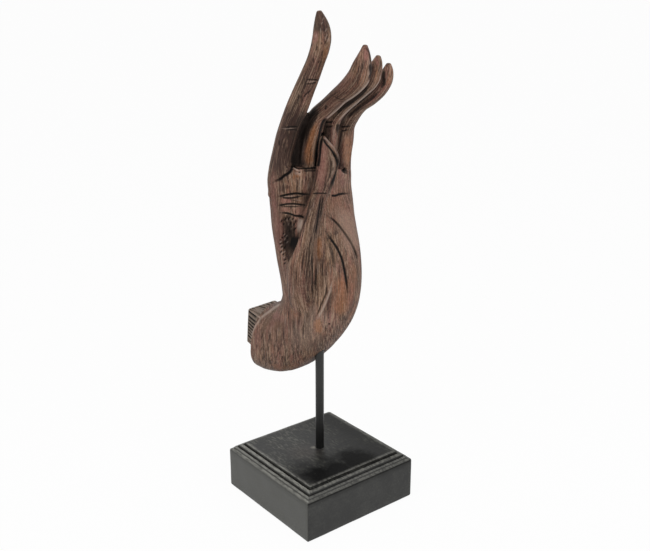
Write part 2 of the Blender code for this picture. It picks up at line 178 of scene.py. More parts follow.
# Nut, washer and split lock washer: steel stampings with a bright zinc plating. They pull
# the rod's lower thread down inside the plinth's counterbore and are hidden by the felt.
# Bright zinc: cool grey, with fine random scratches from the plating barrel
ZINC_SCRATCH = 0.4 * MM
zinc_look, tree, shader = new_material("barrel_plated_zinc_on_steel")
place = add("TexCoord").outputs["Object"]
scratches = add("TexNoise", place, 1 / (4 * ZINC_SCRATCH), 6, Distortion=4)
surface(
    {
        "Base Color": add("Mix", scratches, "#9ea1a4", "#cfd2d4", data_type="RGBA"),
        "Roughness": add("MapRange", scratches, 0, 1, 0.22, 0.48),
        "Metallic": 1,
    }
)
for node in ("plinth_washer", "lock_washer", "plinth_nut"):
    repaint(node, zinc_look)

# Plinth: a wooden block with a routed, stepped top edge, brushed with satin black paint.
# The rod stands in a socket at its centre; a counterbore below takes the nut.
BLOCK_EDGE_RADIUS = 1.8 * MM
CORNER_RADIUS = 2.3 * MM
CORNER_SHARES = (1.3, 1, 0.45, 1.3)
CORNER_TIGHTENS = 0.18
LEAST_CORNER_RADIUS = 0.7 * MM
# Steps of the moulding in mm: (in from the block's side, up from its top), from the side up.
# WORN says for each how far its paint is rubbed through; the table below it, how dark the
# painted shade in that step is.
MOULDING_MM = (
    (0.0, -1.4),
    (0.25, -0.5),
    (1.0, 0.0),
    (3.0, 0.3),
    (3.25, 1.9),
    (3.8, 2.6),
    (5.75, 2.8),
    (6.05, 2.1),
    (6.65, 2.1),
    (6.95, 4.3),
    (7.5, 5.1),
    (10.0, 5.4),
    (10.35, 4.8),
    (10.95, 4.8),
    (11.2, 7.2),
    (11.9, 7.9),
)
WORN = (0, 0, 0.6, 1, 0, 0.8, 0.6, 0, 0, 0, 0.9, 0.9, 0, 0, 0, 1)
GROOVE_SHADE = (0.3, 0.9, 0.3, 0, 0.5, 0, 0, 1, 1, 0.5, 0, 0, 1, 1, 0.5, 0)
EDGE_STEPS = 4
SIDE_ROWS = 8
PANEL_ROWS = 9
PANEL_LIP = 0.5 * MM
PANEL_CROWDING = 1.3
PANEL_END_HALF = 7.0 * MM
CORNER_STEPS = 6
SIDE_STEPS = 44
UNEVENNESS = 0.16 * MM
UNEVEN_SPACING = 13 * MM
UNEVEN_UPWARD = 0.6
EVEN_FOOT = 0.5 * MM
PLINTH_SHARP_ANGLE = math.radians(38)

half_side = (plinth_high.x - plinth_low.x) / 2
moulding_height = MOULDING_MM[-1][1] * MM
block_top = plinth_high.z - moulding_height
rod_low, rod_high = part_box("support_rod")
washer_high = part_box("plinth_washer")[1]
CLEARANCE = 0.3 * MM


def square_row(half, radius, level):
    """Points round a square with rounded corners, evenly spaced along its sides."""
    points = []
    for corner in range(4):
        middle = math.radians(45 + 90 * corner)
        bend = radius * CORNER_SHARES[corner]
        centre_x = math.copysign(half - bend, math.cos(middle))
        centre_y = math.copysign(half - bend, math.sin(middle))
        for k in range(CORNER_STEPS + 1):
            turn = middle + math.radians(90 * (k / CORNER_STEPS - 0.5))
            points.append(
                Vector(
                    (
                        centre_x + bend * math.cos(turn),
                        centre_y + bend * math.sin(turn),
                        level,
                    )
                )
            )
    row = []
    for k, point in enumerate(points):
        row.append(point)
        if k % (CORNER_STEPS + 1) == CORNER_STEPS:
            end = points[(k + 1) % len(points)]
            row += [point.lerp(end, n / SIDE_STEPS) for n in range(1, SIDE_STEPS)]
    return row


def skin(shape, rows):
    """Faces between rows of as many points, with a cap at each end."""
    made = [[shape.verts.new(point) for point in row] for row in rows]
    for low, high in zip(made, made[1:]):
        for k in range(len(low)):
            n = (k + 1) % len(low)
            shape.faces.new((low[k], low[n], high[n], high[k]))
    shape.faces.new(made[0][::-1])
    shape.faces.new(made[-1])


def finished(name, shape, matrix=Matrix()):
    """A mesh from the shape, its faces turned outward."""
    bmesh.ops.transform(shape, matrix=matrix, verts=shape.verts)
    bmesh.ops.recalc_face_normals(shape, faces=shape.faces)
    mesh = bpy.data.meshes.new(name)
    shape.to_mesh(mesh)
    shape.free()
    return mesh


outline = []
for k in range(EDGE_STEPS + 1):
    turn = math.radians(90 * k / EDGE_STEPS)
    outline.append(
        (
            BLOCK_EDGE_RADIUS * (1 - math.sin(turn)),
            plinth_low.z + BLOCK_EDGE_RADIUS * (1 - math.cos(turn)),
        )
    )
side_low = plinth_low.z + BLOCK_EDGE_RADIUS
side_high = block_top + MOULDING_MM[0][1] * MM
for k in range(1, SIDE_ROWS):
    outline.append((0, side_low + (side_high - side_low) * k / SIDE_ROWS))
outline += [(inset * MM, block_top + rise * MM) for inset, rise in MOULDING_MM]
panel_inset = MOULDING_MM[-1][0] * MM
panel_end = half_side - PANEL_END_HALF
for k in range(PANEL_ROWS):
    share = ((k + 1) / PANEL_ROWS) ** PANEL_CROWDING
    inset = panel_inset + PANEL_LIP + (panel_end - panel_inset) * share
    outline.append((inset, plinth_high.z))

shape = bmesh.new()
worn = shape.verts.layers.float.new("worn")
groove_shade = shape.verts.layers.float.new("groove_shade")
rows = []
for inset, level in outline:
    radius = max(CORNER_RADIUS - inset * CORNER_TIGHTENS, LEAST_CORNER_RADIUS)
    rows.append(square_row(half_side - inset, radius, level))
skin(shape, rows)
first_moulded = len(outline) - PANEL_ROWS - len(MOULDING_MM)
for k, vert in enumerate(shape.verts):
    row = k // len(rows[0]) - first_moulded
    if 0 <= row < len(MOULDING_MM):
        vert[worn] = WORN[row]
        vert[groove_shade] = GROOVE_SHADE[row]
for vert in shape.verts:
    if vert.co.z > plinth_low.z + EVEN_FOOT:
        wobble = noise.noise_vector(vert.co / UNEVEN_SPACING)
        vert.co += Vector((wobble.x, wobble.y, wobble.z * UNEVEN_UPWARD)) * UNEVENNESS
plinth = put("painted_plinth", finished("painted_plinth", shape))


def turned(name, outline, sides=96):
    """A mesh turned about the rod's axis, from (radius, height) points that end on the axis."""
    shape = bmesh.new()
    row = [shape.verts.new((radius, 0, height)) for radius, height in outline]
    for a, b in zip(row, row[1:]):
        shape.edges.new((a, b))
    bmesh.ops.spin(
        shape,
        geom=shape.verts[:] + shape.edges[:],
        cent=(0, 0, 0),
        axis=(0, 0, 1),
        angle=math.tau,
        steps=sides,
        use_merge=True,
    )
    bmesh.ops.remove_doubles(shape, verts=shape.verts, dist=0.01 * MM)
    return finished(name, shape)


def cut(obj, mesh):
    """Cuts the mesh out of the object for good."""
    tool = put(mesh.name, mesh)
    modifier = obj.modifiers.new("cut", "BOOLEAN")
    modifier.object = tool
    modifier.solver = "EXACT"
    settle(obj)
    bpy.data.objects.remove(tool, do_unlink=True)


def settle(obj):
    """Makes the object's modifiers part of its mesh."""
    bpy.context.view_layer.update()
    graph = bpy.context.evaluated_depsgraph_get()
    mesh = bpy.data.meshes.new_from_object(
        obj.evaluated_get(graph), preserve_all_data_layers=True, depsgraph=graph
    )
    obj.modifiers.clear()
    obj.data = mesh


rod_radius = rod_high.x
ROD_SOCKET_DEPTH = 12 * MM
THREAD_RADIUS = 3 * MM
COUNTERBORE_RADIUS = 12 * MM
CUTTER_OVERLAP = 2 * MM
socket_low = plinth_high.z - ROD_SOCKET_DEPTH
counterbore_high = washer_high.z + CLEARANCE
over = plinth_high.z + CUTTER_OVERLAP
under = plinth_low.z - CUTTER_OVERLAP
cut(
    plinth,
    turned(
        "socket_and_counterbore",
        (
            (0, over),
            (rod_radius + CLEARANCE, over),
            (rod_radius + CLEARANCE, socket_low),
            (THREAD_RADIUS + CLEARANCE, socket_low),
            (THREAD_RADIUS + CLEARANCE, counterbore_high),
            (COUNTERBORE_RADIUS, counterbore_high),
            (COUNTERBORE_RADIUS, under),
            (0, under),
        ),
    ),
)
plinth.data.shade_smooth()
plinth.data.set_sharp_from_angle(angle=PLINTH_SHARP_ANGLE)

# Satin black paint, brushed on by hand: nearly black, a soft sheen, faint brush ridges
# about 1.5 mm apart, rubbed grey in patches, worn on the crests of the moulding. Painted
# light lies on it: the left side is painted lighter, with painted highlights on its crests
# and at the rod's foot, and painted shade darkens the grooves, the right of the top and a
# patch in front of the rod
BRUSH_RIDGE = 1.5 * MM
RUB_PATCH = 28 * MM
SCRATCH = 1.7 * MM
CHIP = 0.55 * MM
# Painted shade: a dark patch on the top in front of the rod
SHADE_PATCH_PIXELS = ((321, 476), (338, 468), (356, 461))
SHADE_PATCH = 34 * MM
SHADE_PATCH_FADES = 1.9 * SHADE_PATCH
SHADE_PATCH_RAGGED = 44 * MM
BROWN_PATCH_PIXEL = (306, 452)
BROWN_PATCH = (4 * MM, 22 * MM)
# Painted highlight: a pale spot on the top at the rod's foot
ROD_FOOT_HIGHLIGHT_PIXEL = (313.6, 447.4)
ROD_FOOT_HIGHLIGHT = (0.5 * MM, 3.5 * MM)
LIT_LEFT_MOULDING = (-half_side + 13 * MM, -half_side + 11 * MM)
RIGHT_SHADE = (-10 * MM, 40 * MM)
MITRE = (0.5 * MM, -0.5 * MM)
LOWEST_GROOVE = (block_top - 0.3 * MM, block_top + 0.2 * MM)
UPPER_STEPS = (block_top + 4.5 * MM, block_top + 5.2 * MM)
PANEL = (block_top + 5 * MM, block_top + 7 * MM)
paint_look, tree, shader = new_material("brushed_satin_black_paint")
place = add("TexCoord").outputs["Object"]
across = add("SeparateXYZ", place).outputs


def cloud(size, detail, roughness, stretch=(1, 1, 1)):
    """Noise with blotches of a size in metres, drawn out by the stretch."""
    scaled = add("Mapping", place, Scale=[1 / (size * part) for part in stretch])
    return add("TexNoise", scaled, 1, detail, roughness)


def from_spot(u, v):
    """Distance from the spot of the plinth's top that is seen at a pixel of the photograph."""
    sight = sight_line(u, v)
    spot = camera_place + sight * ((plinth_high.z - camera_place.z) / sight.z)
    return add("VectorMath", place, spot, operation="DISTANCE")


def coats(colour, layers):
    """Colours laid over the first one, each with how much of it shows."""
    for shown, over in layers:
        colour = add("Mix", shown, colour, over, data_type="RGBA")
    return colour


brush = cloud(BRUSH_RIDGE, 4, 0.6, (14, 1, 1))
rub = cloud(RUB_PATCH, 5, 0.65)
scratches = cloud(SCRATCH, 3, 0.6, (1, 4, 1))
specks = cloud(2 * CHIP, 3, 0.7)
crest = add("Attribute", attribute_name="worn").outputs["Fac"]
painted_groove_shade = add("Attribute", attribute_name="groove_shade").outputs["Fac"]

nearest = 1.0
for u, v in SHADE_PATCH_PIXELS:
    nearest = add("Math", nearest, from_spot(u, v), operation="MINIMUM")
from_shade_patch = add("Math", rub, SHADE_PATCH_RAGGED, operation="MULTIPLY")
from_shade_patch = add("Math", from_shade_patch, nearest, operation="ADD")
shade_in_front_of_rod = add("MapRange", from_shade_patch, SHADE_PATCH, SHADE_PATCH_FADES, 1, 0)
shade_in_front_of_rod = add("Math", shade_in_front_of_rod, add("MapRange", across["Z"], *PANEL), operation="MULTIPLY")

# Painted light: the left side and its moulding are painted a lighter grey, where light falls
# from the left
mitre = add("Math", across["Y"], operation="ABSOLUTE")
mitre = add("Math", across["X"], mitre, operation="ADD")
lit_left_side = add("MapRange", across["X"], *LIT_LEFT_MOULDING)
lit_left_side = add("Math", lit_left_side, add("MapRange", mitre, *MITRE), operation="MULTIPLY")
left_painted_light = add("Math", lit_left_side, 0.85, operation="MULTIPLY")

flat = add("MapRange", across["Z"], *UPPER_STEPS, 0.1, 1)
scraped = add("MapRange", scratches, 0.5, 0.57)
scraped = add("Math", scraped, add("MapRange", rub, 0.43, 0.56), operation="MULTIPLY")
scraped = add("Math", scraped, flat, operation="MULTIPLY")
# Painted shade: the top is painted darker towards the right
shade_on_right = add("MapRange", across["X"], *RIGHT_SHADE, 0, 0.7)
shade_on_right = add("Math", shade_on_right, flat, operation="MULTIPLY")

# Worn crests of the moulding painted paler, with painted highlight added on the lit left side
crest_wear_and_highlight = add("MapRange", scratches, 0.38, 0.56, 0.3, 1)
crest_wear_and_highlight = add("Math", crest, crest_wear_and_highlight, operation="MULTIPLY")
left_highlight_share = add("Math", lit_left_side, 0.4, 0.4, operation="MULTIPLY_ADD")
crest_wear_and_highlight = add("Math", crest_wear_and_highlight, left_highlight_share, operation="MULTIPLY")

# Painted shade in the grooves: full in the lowest groove and in the left side's grooves, a
# quarter in the left side's lowest groove, half elsewhere
foot = add("MapRange", across["Z"], *LOWEST_GROOVE, 1, 0)
groove_shade_strength = add("Math", lit_left_side, 0.45, 0.5, operation="MULTIPLY_ADD")
lowest_groove_shade = add("Math", lit_left_side, -1.2, 0.5, operation="MULTIPLY_ADD")
groove_shade_strength = add("Math", foot, lowest_groove_shade, groove_shade_strength, operation="MULTIPLY_ADD")
painted_groove_shade = add("Math", painted_groove_shade, groove_shade_strength, operation="MULTIPLY")

painted = coats(
    "#292928",
    (
        (add("MapRange", rub, 0.4, 0.7, 0, 0.7), "#3c3c3a"),
        (left_painted_light, "#53534f"),
        (scraped, "#5e5e57"),
        (add("MapRange", from_spot(*BROWN_PATCH_PIXEL), *BROWN_PATCH, 0.7, 0), "#393330"),
        (shade_in_front_of_rod, "#0b0b0b"),
        (shade_on_right, "#1b1b19"),
        (add("MapRange", from_spot(*ROD_FOOT_HIGHLIGHT_PIXEL), *ROD_FOOT_HIGHLIGHT, 0.7, 0), "#8d8a80"),
        (crest_wear_and_highlight, "#a3a29b"),
        (painted_groove_shade, "#090909"),
        (add("MapRange", specks, 0.66, 0.76, 0, 0.35), "#8d8c84"),
    ),
)
dull = add("Math", shade_in_front_of_rod, painted_groove_shade, operation="MAXIMUM")
dull = add("Math", dull, shade_on_right, operation="MAXIMUM")
relief = add("Math", scratches, 0.6, brush, operation="MULTIPLY_ADD")
surface(
    {
        "Base Color": painted,
        "Roughness": add("MapRange", rub, 0.3, 0.7, 0.34, 0.5),
        "Specular IOR Level": add("Math", dull, -0.22, 0.25, operation="MULTIPLY_ADD"),
        "Normal": add("Bump", Height=relief, Distance=0.2 * MM, Strength=0.7),
    }
)
plinth.data.materials.clear()
plinth.data.materials.append(paint_look)
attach(plinth, "root")
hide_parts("plinth")

# Support rod: bright-drawn steel bar with a thread cut at each end, painted satin black.
# Its shoulder stands in the plinth's socket and its top is screwed into the heel.
THREAD_CHAMFER = 0.7 * MM
ROD_SHARP_ANGLE = math.radians(35)
lower_thread = socket_low + CLEARANCE
insert_low, insert_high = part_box("threaded_insert")
rod_shoulder = insert_low.z - 2 * CLEARANCE
rod_rows = (
    (0, rod_low.z),
    (THREAD_RADIUS - THREAD_CHAMFER, rod_low.z),
    (THREAD_RADIUS, rod_low.z + THREAD_CHAMFER),
    (THREAD_RADIUS, lower_thread),
    (rod_radius, lower_thread),
    (rod_radius, rod_shoulder),
    (THREAD_RADIUS, rod_shoulder),
    (THREAD_RADIUS, rod_high.z - THREAD_CHAMFER),
    (THREAD_RADIUS - THREAD_CHAMFER, rod_high.z),
    (0, rod_high.z),
)
rod = put("painted_rod", turned("painted_rod", rod_rows))
rod.data.shade_smooth()
rod.data.set_sharp_from_angle(angle=ROD_SHARP_ANGLE)

# Sprayed satin black on drawn steel: deep black, smooth, a fine orange peel of 1.2 mm. The
# lowest part is painted darker, a painted shade where no light from the side reaches it.
ORANGE_PEEL = 1.2 * MM
SHADED_FOOT = (plinth_high.z + 15 * MM, plinth_high.z + 75 * MM)
rod_look, tree, shader = new_material("sprayed_satin_black_on_steel")
place = add("TexCoord").outputs["Object"]
peel = add("TexNoise", place, 1 / ORANGE_PEEL, 2)
height = add("SeparateXYZ", place).outputs["Z"]
shaded_foot_black, black = (
    add("Mix", peel, *colours, data_type="RGBA")
    for colours in (("#050505", "#10100f"), ("#1f1f1e", "#31312f"))
)
surface(
    {
        "Base Color": coats(shaded_foot_black, ((add("MapRange", height, *SHADED_FOOT), black),)),
        "Normal": add("Bump", Height=peel, Distance=0.04 * MM, Strength=0.6),
        "Roughness": 0.38,
        "Specular IOR Level": 0.3,
    }
)
rod.data.materials.append(rod_look)
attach(rod, "root")
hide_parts("support_rod")

# Threaded insert: turned from brass bar and cast into the heel over the rod's shoulder.
# Turned brass: warm yellow metal, with rings left by the tool 0.25 mm apart
TOOL_RING = 0.25 * MM
brass_look, tree, shader = new_material("turned_brass")
place = add("TexCoord").outputs["Object"]
rings = add("TexWave", place, 1 / (6 * TOOL_RING), 0.4, bands_direction="Z").outputs["Fac"]
surface(
    {
        "Base Color": add("Mix", rings, "#b08d4a", "#d9b96c", data_type="RGBA"),
        "Normal": add("Bump", Height=rings, Distance=0.03 * MM, Strength=0.5),
        "Metallic": 1,
        "Roughness": 0.28,
    }
)
repaint("threaded_insert", brass_look)

# Hand: one casting in resin, from a mould taken off a carved wooden original, so it has
# that carving's gouge cuts, grain and rough tenon. The rod screws into its heel.
HAND_TURN = math.radians(6.5)
HAND_SHIFT_MM = (1.0, -0.9, 3.3)
CASTING_VOXEL = 0.6 * MM
SMOOTH_ROUNDS = 14
PALM_SQUARENESS = 2.5
FINGER_SQUARENESS = 2.2
WEB_SQUARENESS = 2.4
MOST_TRIANGLES = 190000

# Rings along each limb in mm: (x, y, z, half width, half depth)
PALM = (
    (-1.6, 8.6, 331.0, 40.4, 17.4),
    (-1.2, 9.2, 322.0, 41.0, 18.4),
    (-0.2, 10.8, 311.0, 42.2, 20.2),
    (1.3, 13.4, 298.0, 43.5, 21.6),
    (1.9, 12.4, 284.0, 43.3, 23.2),
    (0.7, 9.6, 270.0, 42.3, 25.2),
    (0.3, 6.0, 256.0, 41.3, 27.4),
    (0.2, 2.7, 242.0, 40.4, 29.2),
    (0.7, 0.6, 227.0, 38.5, 30.6),
    (0.8, -0.2, 212.0, 36.1, 31.6),
    (0.8, 1.8, 197.0, 33.8, 31.6),
    (0.6, 9.0, 181.5, 32.8, 30.4),
    (0.6, 20.5, 167.6, 32.2, 30.8),
    (0.3, 34.5, 155.8, 31.6, 32.6),
    (0.0, 49.5, 147.8, 31.0, 34.2),
    (0.0, 66.0, 145.2, 30.6, 34.6),
    (0.0, 84.0, 148.2, 30.2, 34.6),
)
INDEX = (
    (-30.0, 14.0, 288, 8.0, 12.0),
    (-32.4, 13.8, 298, 9.0, 14.4),
    (-35.1, 13.0, 310, 8.1, 14.8),
    (-35.9, 12.5, 323, 7.3, 12.0),
    (-35.4, 10.5, 336, 7.4, 9.7),
    (-34.6, 6.4, 349, 8.1, 9.5),
    (-34.1, 1.4, 361.5, 8.2, 8.9),
    (-33.7, -6.8, 377, 8.5, 8.9),
    (-33.5, -14.7, 391, 8.2, 8.3),
    (-33.5, -20.7, 401, 7.8, 7.9),
    (-33.5, -29.3, 416.7, 7.2, 7.2),
    (-33.5, -33.3, 425.5, 7.5, 7.3),
    (-33.5, -35.4, 434, 7.5, 7.0),
    (-33.5, -35.0, 442, 6.4, 6.0),
    (-33.5, -33.4, 449, 4.1, 4.0),
    (-33.5, -32.0, 454, 2.0, 1.9),
)
MIDDLE = (
    (-11, 10.5, 300, 9.6, 18.2),
    (-12.4, 9.0, 320, 8.4, 17.4),
    (-13.4, 5.0, 336, 7.2, 12.6),
    (-13.2, -1.5, 353, 7.1, 9.8),
    (-12.1, -7.6, 365.5, 7.1, 8.0),
    (-10.6, -19.5, 375.7, 7.4, 7.4),
    (-11.0, -31.0, 384.5, 7.2, 7.4),
    (-10.2, -45.4, 395.0, 8.6, 8.5),
    (-9.9, -53.7, 403.6, 9.1, 8.9),
    (-10.5, -57.5, 412.3, 7.8, 7.7),
    (-11, -60.1, 421, 4.9, 4.8),
    (-11, -60.8, 428.5, 1.8, 1.8),
)
RING = (
    (11.5, 9.5, 300, 9.4, 15.5),
    (10.9, 8.0, 320, 9.4, 14.4),
    (10.0, 4.0, 336, 8.3, 11.8),
    (9.1, -1.0, 351, 6.4, 9.2),
    (9.9, -4.6, 363, 6.6, 8.0),
    (11.0, -14.1, 373.9, 7.1, 7.3),
    (10.9, -27.3, 383.5, 7.0, 7.1),
    (10.8, -39.1, 391.6, 6.8, 6.9),
    (11.1, -46.4, 398.2, 6.9, 7.0),
    (11.5, -50.9, 406.5, 6.1, 6.1),
    (11.5, -53.5, 413.7, 3.9, 3.9),
    (11.5, -54.7, 418.4, 1.7, 1.7),
)
LITTLE = (
    (31.5, 11.8, 294, 9.4, 16.0),
    (31.4, 11.0, 312, 8.8, 15.2),
    (32.1, 8.6, 327, 8.6, 12.2),
    (32.4, 4.6, 341, 9.0, 9.6),
    (32.5, 2.0, 353, 8.3, 8.5),
    (32.5, -4.6, 363, 8.0, 8.1),
    (32.5, -15.0, 373.2, 7.6, 7.4),
    (32.5, -26.6, 380.8, 7.6, 7.8),
    (32.5, -38.8, 390.4, 7.2, 7.3),
    (32.5, -44.7, 398.5, 6.2, 6.3),
    (32.5, -47.0, 405.3, 4.2, 4.2),
    (32.5, -47.6, 410.4, 1.8, 1.8),
)
THUMB = (
    (-19, -1.0, 178, 5.0, 7.0),
    (-23.5, -1.6, 191, 7.6, 9.6),
    (-28, -4.0, 206, 10.0, 12.0),
    (-32, -8.0, 223, 12.0, 12.6),
    (-35, -12.0, 240, 12.6, 11.8),
    (-34.0, -14.8, 256, 10.6, 10.4),
    (-30.5, -15.6, 270, 8.6, 8.6),
    (-24.6, -14.4, 284, 7.6, 8.0),
    (-17.6, -14.0, 298, 7.4, 7.8),
    (-10.8, -14.2, 311, 9.2, 7.6),
    (-7.2, -14.6, 322, 11.0, 7.2),
    (-6.3, -15.0, 329.5, 11.6, 6.9),
    (-8.2, -15.4, 336.5, 8.9, 6.4),
    (-11.2, -15.9, 342.8, 5.6, 5.2),
    (-13.0, -16.3, 347.6, 3.3, 3.8),
    (-13.7, -16.5, 351.5, 1.6, 1.8),
)
KNUCKLES = (
    (0.6, 19.5, 300, 42.4, 14.0),
    (-0.4, 18.0, 311, 41.8, 12.8),
    (-1.2, 16.2, 320, 40.8, 11.2),
    (-1.3, 13.9, 328, 39.8, 8.9),
    (-1.3, 11.4, 335.5, 38.0, 6.4),
    (-1.3, 9.3, 342, 34.0, 4.0),
    (-1.3, 8.0, 346, 28.0, 2.0),
)
WEBS = (
    (
        (-22, 15.0, 305, 12, 8),
        (-22, 13.5, 328, 12, 7.5),
        (-22, 9.5, 344, 12, 5.2),
        (-22, 4.0, 358, 11.5, 4.6),
        (-22, -1.0, 364.5, 10.5, 3.8),
        (-22, -4.0, 369, 8.5, 2.2),
    ),
    (
        (0.2, 13.0, 305, 12, 10),
        (0.2, 9.0, 330, 12, 7.2),
        (0.2, 4.5, 346, 11, 4.6),
        (0.2, 1.0, 358, 9.5, 2.6),
    ),
    (
        (22, 14.0, 300, 12, 9),
        (22, 11.0, 322, 12, 7.2),
        (22, 7.0, 338, 11, 4.6),
        (22, 3.5, 351, 9.5, 2.6),
    ),
)

# Cut end of the wrist, the tenon on it, and the hollow between thumb and index finger
WRIST_END_MM = (0, 65.0, 146.6)
WRIST_SLOPE = math.radians(10.6)
TENON_MM = (39, 26, 40.5)
TENON_UNDERCUT_MM = 3.5
TENON_INSIDE_MM = 14
TENON_OFFSET_MM = (3.0, -0.2)
TENON_TAPER = 0.92
TENON_BEVEL = 1.2 * MM
WEB_CENTRE_MM = (-41.5, -2.5, 263.0)
WEB_RADII_MM = (9.0, 11.5, 22.5)
WEB_WIDENS = 0.25
PALM_TOP_MM = (0, 0, 320)
PALM_TOP_SLOPE = math.radians(9.8)
CUTTER_SIDE_MM = 200
CUTTER_DEPTH_MM = 60
RING_STEPS = 5


def through(points, steps):
    """A smooth line through the points, with so many steps from each one to the next."""
    points = np.array(points, float)
    chords = np.linalg.norm(np.diff(points[:, :3], axis=0), axis=1)
    at = np.concatenate(([0], np.cumsum(chords)))
    slopes = np.gradient(points, at, axis=0)
    line = []
    for k, chord in enumerate(chords):
        for s in np.arange(steps) / steps:
            line.append(
                points[k] * (2 * s**3 - 3 * s**2 + 1)
                + slopes[k] * chord * (s**3 - 2 * s**2 + s)
                + points[k + 1] * (3 * s**2 - 2 * s**3)
                + slopes[k + 1] * chord * (s**3 - s**2)
            )
    return np.array([*line, points[-1]])


def limb_frame(rings, k):
    """Directions along a limb, to its side and to its back, at one of its rings."""
    low, high = rings[max(k - 1, 0), :3], rings[min(k + 1, len(rings) - 1), :3]
    along = Vector(high - low).normalized()
    side = (Vector((1, 0, 0)) - along * along.x).normalized()
    return along, side, along.cross(side)


def limb(name, rings, power, sides=72):
    """A closed skin over smoothed rings of rounded-square section."""
    rings = through(rings, RING_STEPS) * MM
    rows = []
    for k, ring in enumerate(rings):
        along, side, front = limb_frame(rings, k)
        row = []
        for n in range(sides):
            c, s = math.cos(math.tau * n / sides), math.sin(math.tau * n / sides)
            row.append(
                Vector(ring[:3])
                + side * math.copysign(abs(c) ** (2 / power), c) * ring[3]
                + front * math.copysign(abs(s) ** (2 / power), s) * ring[4]
            )
        rows.append(row)
    shape = bmesh.new()
    skin(shape, rows)
    return finished(name, shape)


def block(size, centre):
    shape = bmesh.new()
    bmesh.ops.create_cube(shape, size=1)
    bmesh.ops.scale(shape, verts=shape.verts, vec=Vector(size) * MM)
    bmesh.ops.translate(shape, verts=shape.verts, vec=Vector(centre) * MM)
    return shape


def frame_at(place, slope, axis):
    """A frame at a place in mm that is turned about one of its axes."""
    return Matrix.Translation(Vector(place) * MM) @ Matrix.Rotation(slope, 4, axis)


wrist_frame = frame_at(WRIST_END_MM, WRIST_SLOPE, "X")
tenon_width, tenon_length, tenon_height = TENON_MM
tenon_x, tenon_z = TENON_OFFSET_MM
tenon_shape = block(
    (tenon_width, tenon_length + TENON_INSIDE_MM, tenon_height),
    (tenon_x, (tenon_length - TENON_INSIDE_MM) / 2, tenon_z),
)
for vert in tenon_shape.verts:
    if vert.co.y > 0:
        vert.co.x = (tenon_x + (vert.co.x / MM - tenon_x) * TENON_TAPER) * MM
        vert.co.z = (tenon_z + (vert.co.z / MM - tenon_z) * TENON_TAPER) * MM
        if vert.co.z < 0:
            vert.co.y -= TENON_UNDERCUT_MM * MM
bmesh.ops.bevel(
    tenon_shape, geom=tenon_shape.edges[:], offset=TENON_BEVEL, segments=1, affect="EDGES"
)
tenon = finished("tenon", tenon_shape, wrist_frame)


def web_hollow():
    shape = bmesh.new()
    bmesh.ops.create_icosphere(shape, subdivisions=4, radius=1)
    for vert in shape.verts:
        wide = 1 + WEB_WIDENS * vert.co.z
        vert.co = Vector((vert.co.x * wide, vert.co.y * wide, vert.co.z))
    bmesh.ops.scale(shape, verts=shape.verts, vec=Vector(WEB_RADII_MM) * MM)
    return finished("hollow", shape, Matrix.Translation(Vector(WEB_CENTRE_MM) * MM))


LIMBS = {"palm": PALM, "index": INDEX, "middle": MIDDLE, "ring": RING}
LIMBS |= {"little": LITTLE, "thumb": THUMB}
casting = bmesh.new()
casting.from_mesh(tenon)
for name, rings in LIMBS.items():
    squareness = PALM_SQUARENESS if name == "palm" else FINGER_SQUARENESS
    piece = put(name, limb(name, rings, squareness))
    if name == "palm":
        beyond = block(
            (CUTTER_SIDE_MM, CUTTER_DEPTH_MM, CUTTER_SIDE_MM), (0, CUTTER_DEPTH_MM / 2, 0)
        )
        cut(piece, finished("wrist_cut", beyond, wrist_frame))
        top_frame = frame_at(PALM_TOP_MM, PALM_TOP_SLOPE, "Y")
        above = block(
            (CUTTER_SIDE_MM, CUTTER_SIDE_MM, CUTTER_DEPTH_MM), (0, 0, CUTTER_DEPTH_MM / 2)
        )
        cut(piece, finished("palm_top_cut", above, top_frame))
    if name in ("palm", "index", "thumb"):
        cut(piece, web_hollow())
    casting.from_mesh(piece.data)
    bpy.data.objects.remove(piece, do_unlink=True)
for rings in (KNUCKLES, *WEBS):
    casting.from_mesh(limb("web", rings, WEB_SQUARENESS))
placed = Matrix.Rotation(HAND_TURN, 4, "Z") @ Matrix.Translation(Vector(HAND_SHIFT_MM) * MM)
hand = put("carved_hand", finished("carved_hand", casting, placed))
grow = hand.modifiers.new("grow together", "REMESH")
grow.mode = "VOXEL"
grow.voxel_size = CASTING_VOXEL
grow.adaptivity = 0
soften = hand.modifiers.new("soften", "SMOOTH")
soften.factor = 0.5
soften.iterations = SMOOTH_ROUNDS
settle(hand)


def read(mesh, name="position"):
    """A vector for each point of the mesh: its place or its normal."""
    source = mesh.vertex_normals if name == "normal" else mesh.attributes["position"].data
    values = np.empty(len(mesh.vertices) * 3, np.float32)
    source.foreach_get("vector", values)
    return values.reshape(-1, 3).astype(float)


def smooth_step(values, low, high):
    share = np.clip((values - low) / (high - low), 0, 1)
    return share * share * (3 - 2 * share)


LATTICE = 32


def lattice_noise(places, seed):
    """Smooth noise from -1 to 1, at places given in steps of its lattice."""
    table = np.random.default_rng(seed).uniform(-1, 1, (LATTICE, LATTICE, LATTICE))
    low = np.floor(places).astype(int)
    part = places - low
    part = part * part * (3 - 2 * part)
    total = np.zeros(len(places))
    for corner in np.ndindex(2, 2, 2):
        weight = np.prod(np.where(corner, part, 1 - part), axis=1)
        x, y, z = ((low + corner) % LATTICE).T
        total += weight * table[x, y, z]
    return total


# Where the grain starts to follow each limb, in mm along it, and over how long a run
GRAIN_TURNS_MM = {
    "index": (12, 35),
    "middle": (12, 35),
    "ring": (12, 35),
    "little": (12, 35),
    "thumb": (12, 45),
}
SKIN_REACH = (1.17, 1.1)
TIP_REACH = 3 * MM
FAR = 9.0
CHUNKS = 24
GRAIN_STEPS = 4


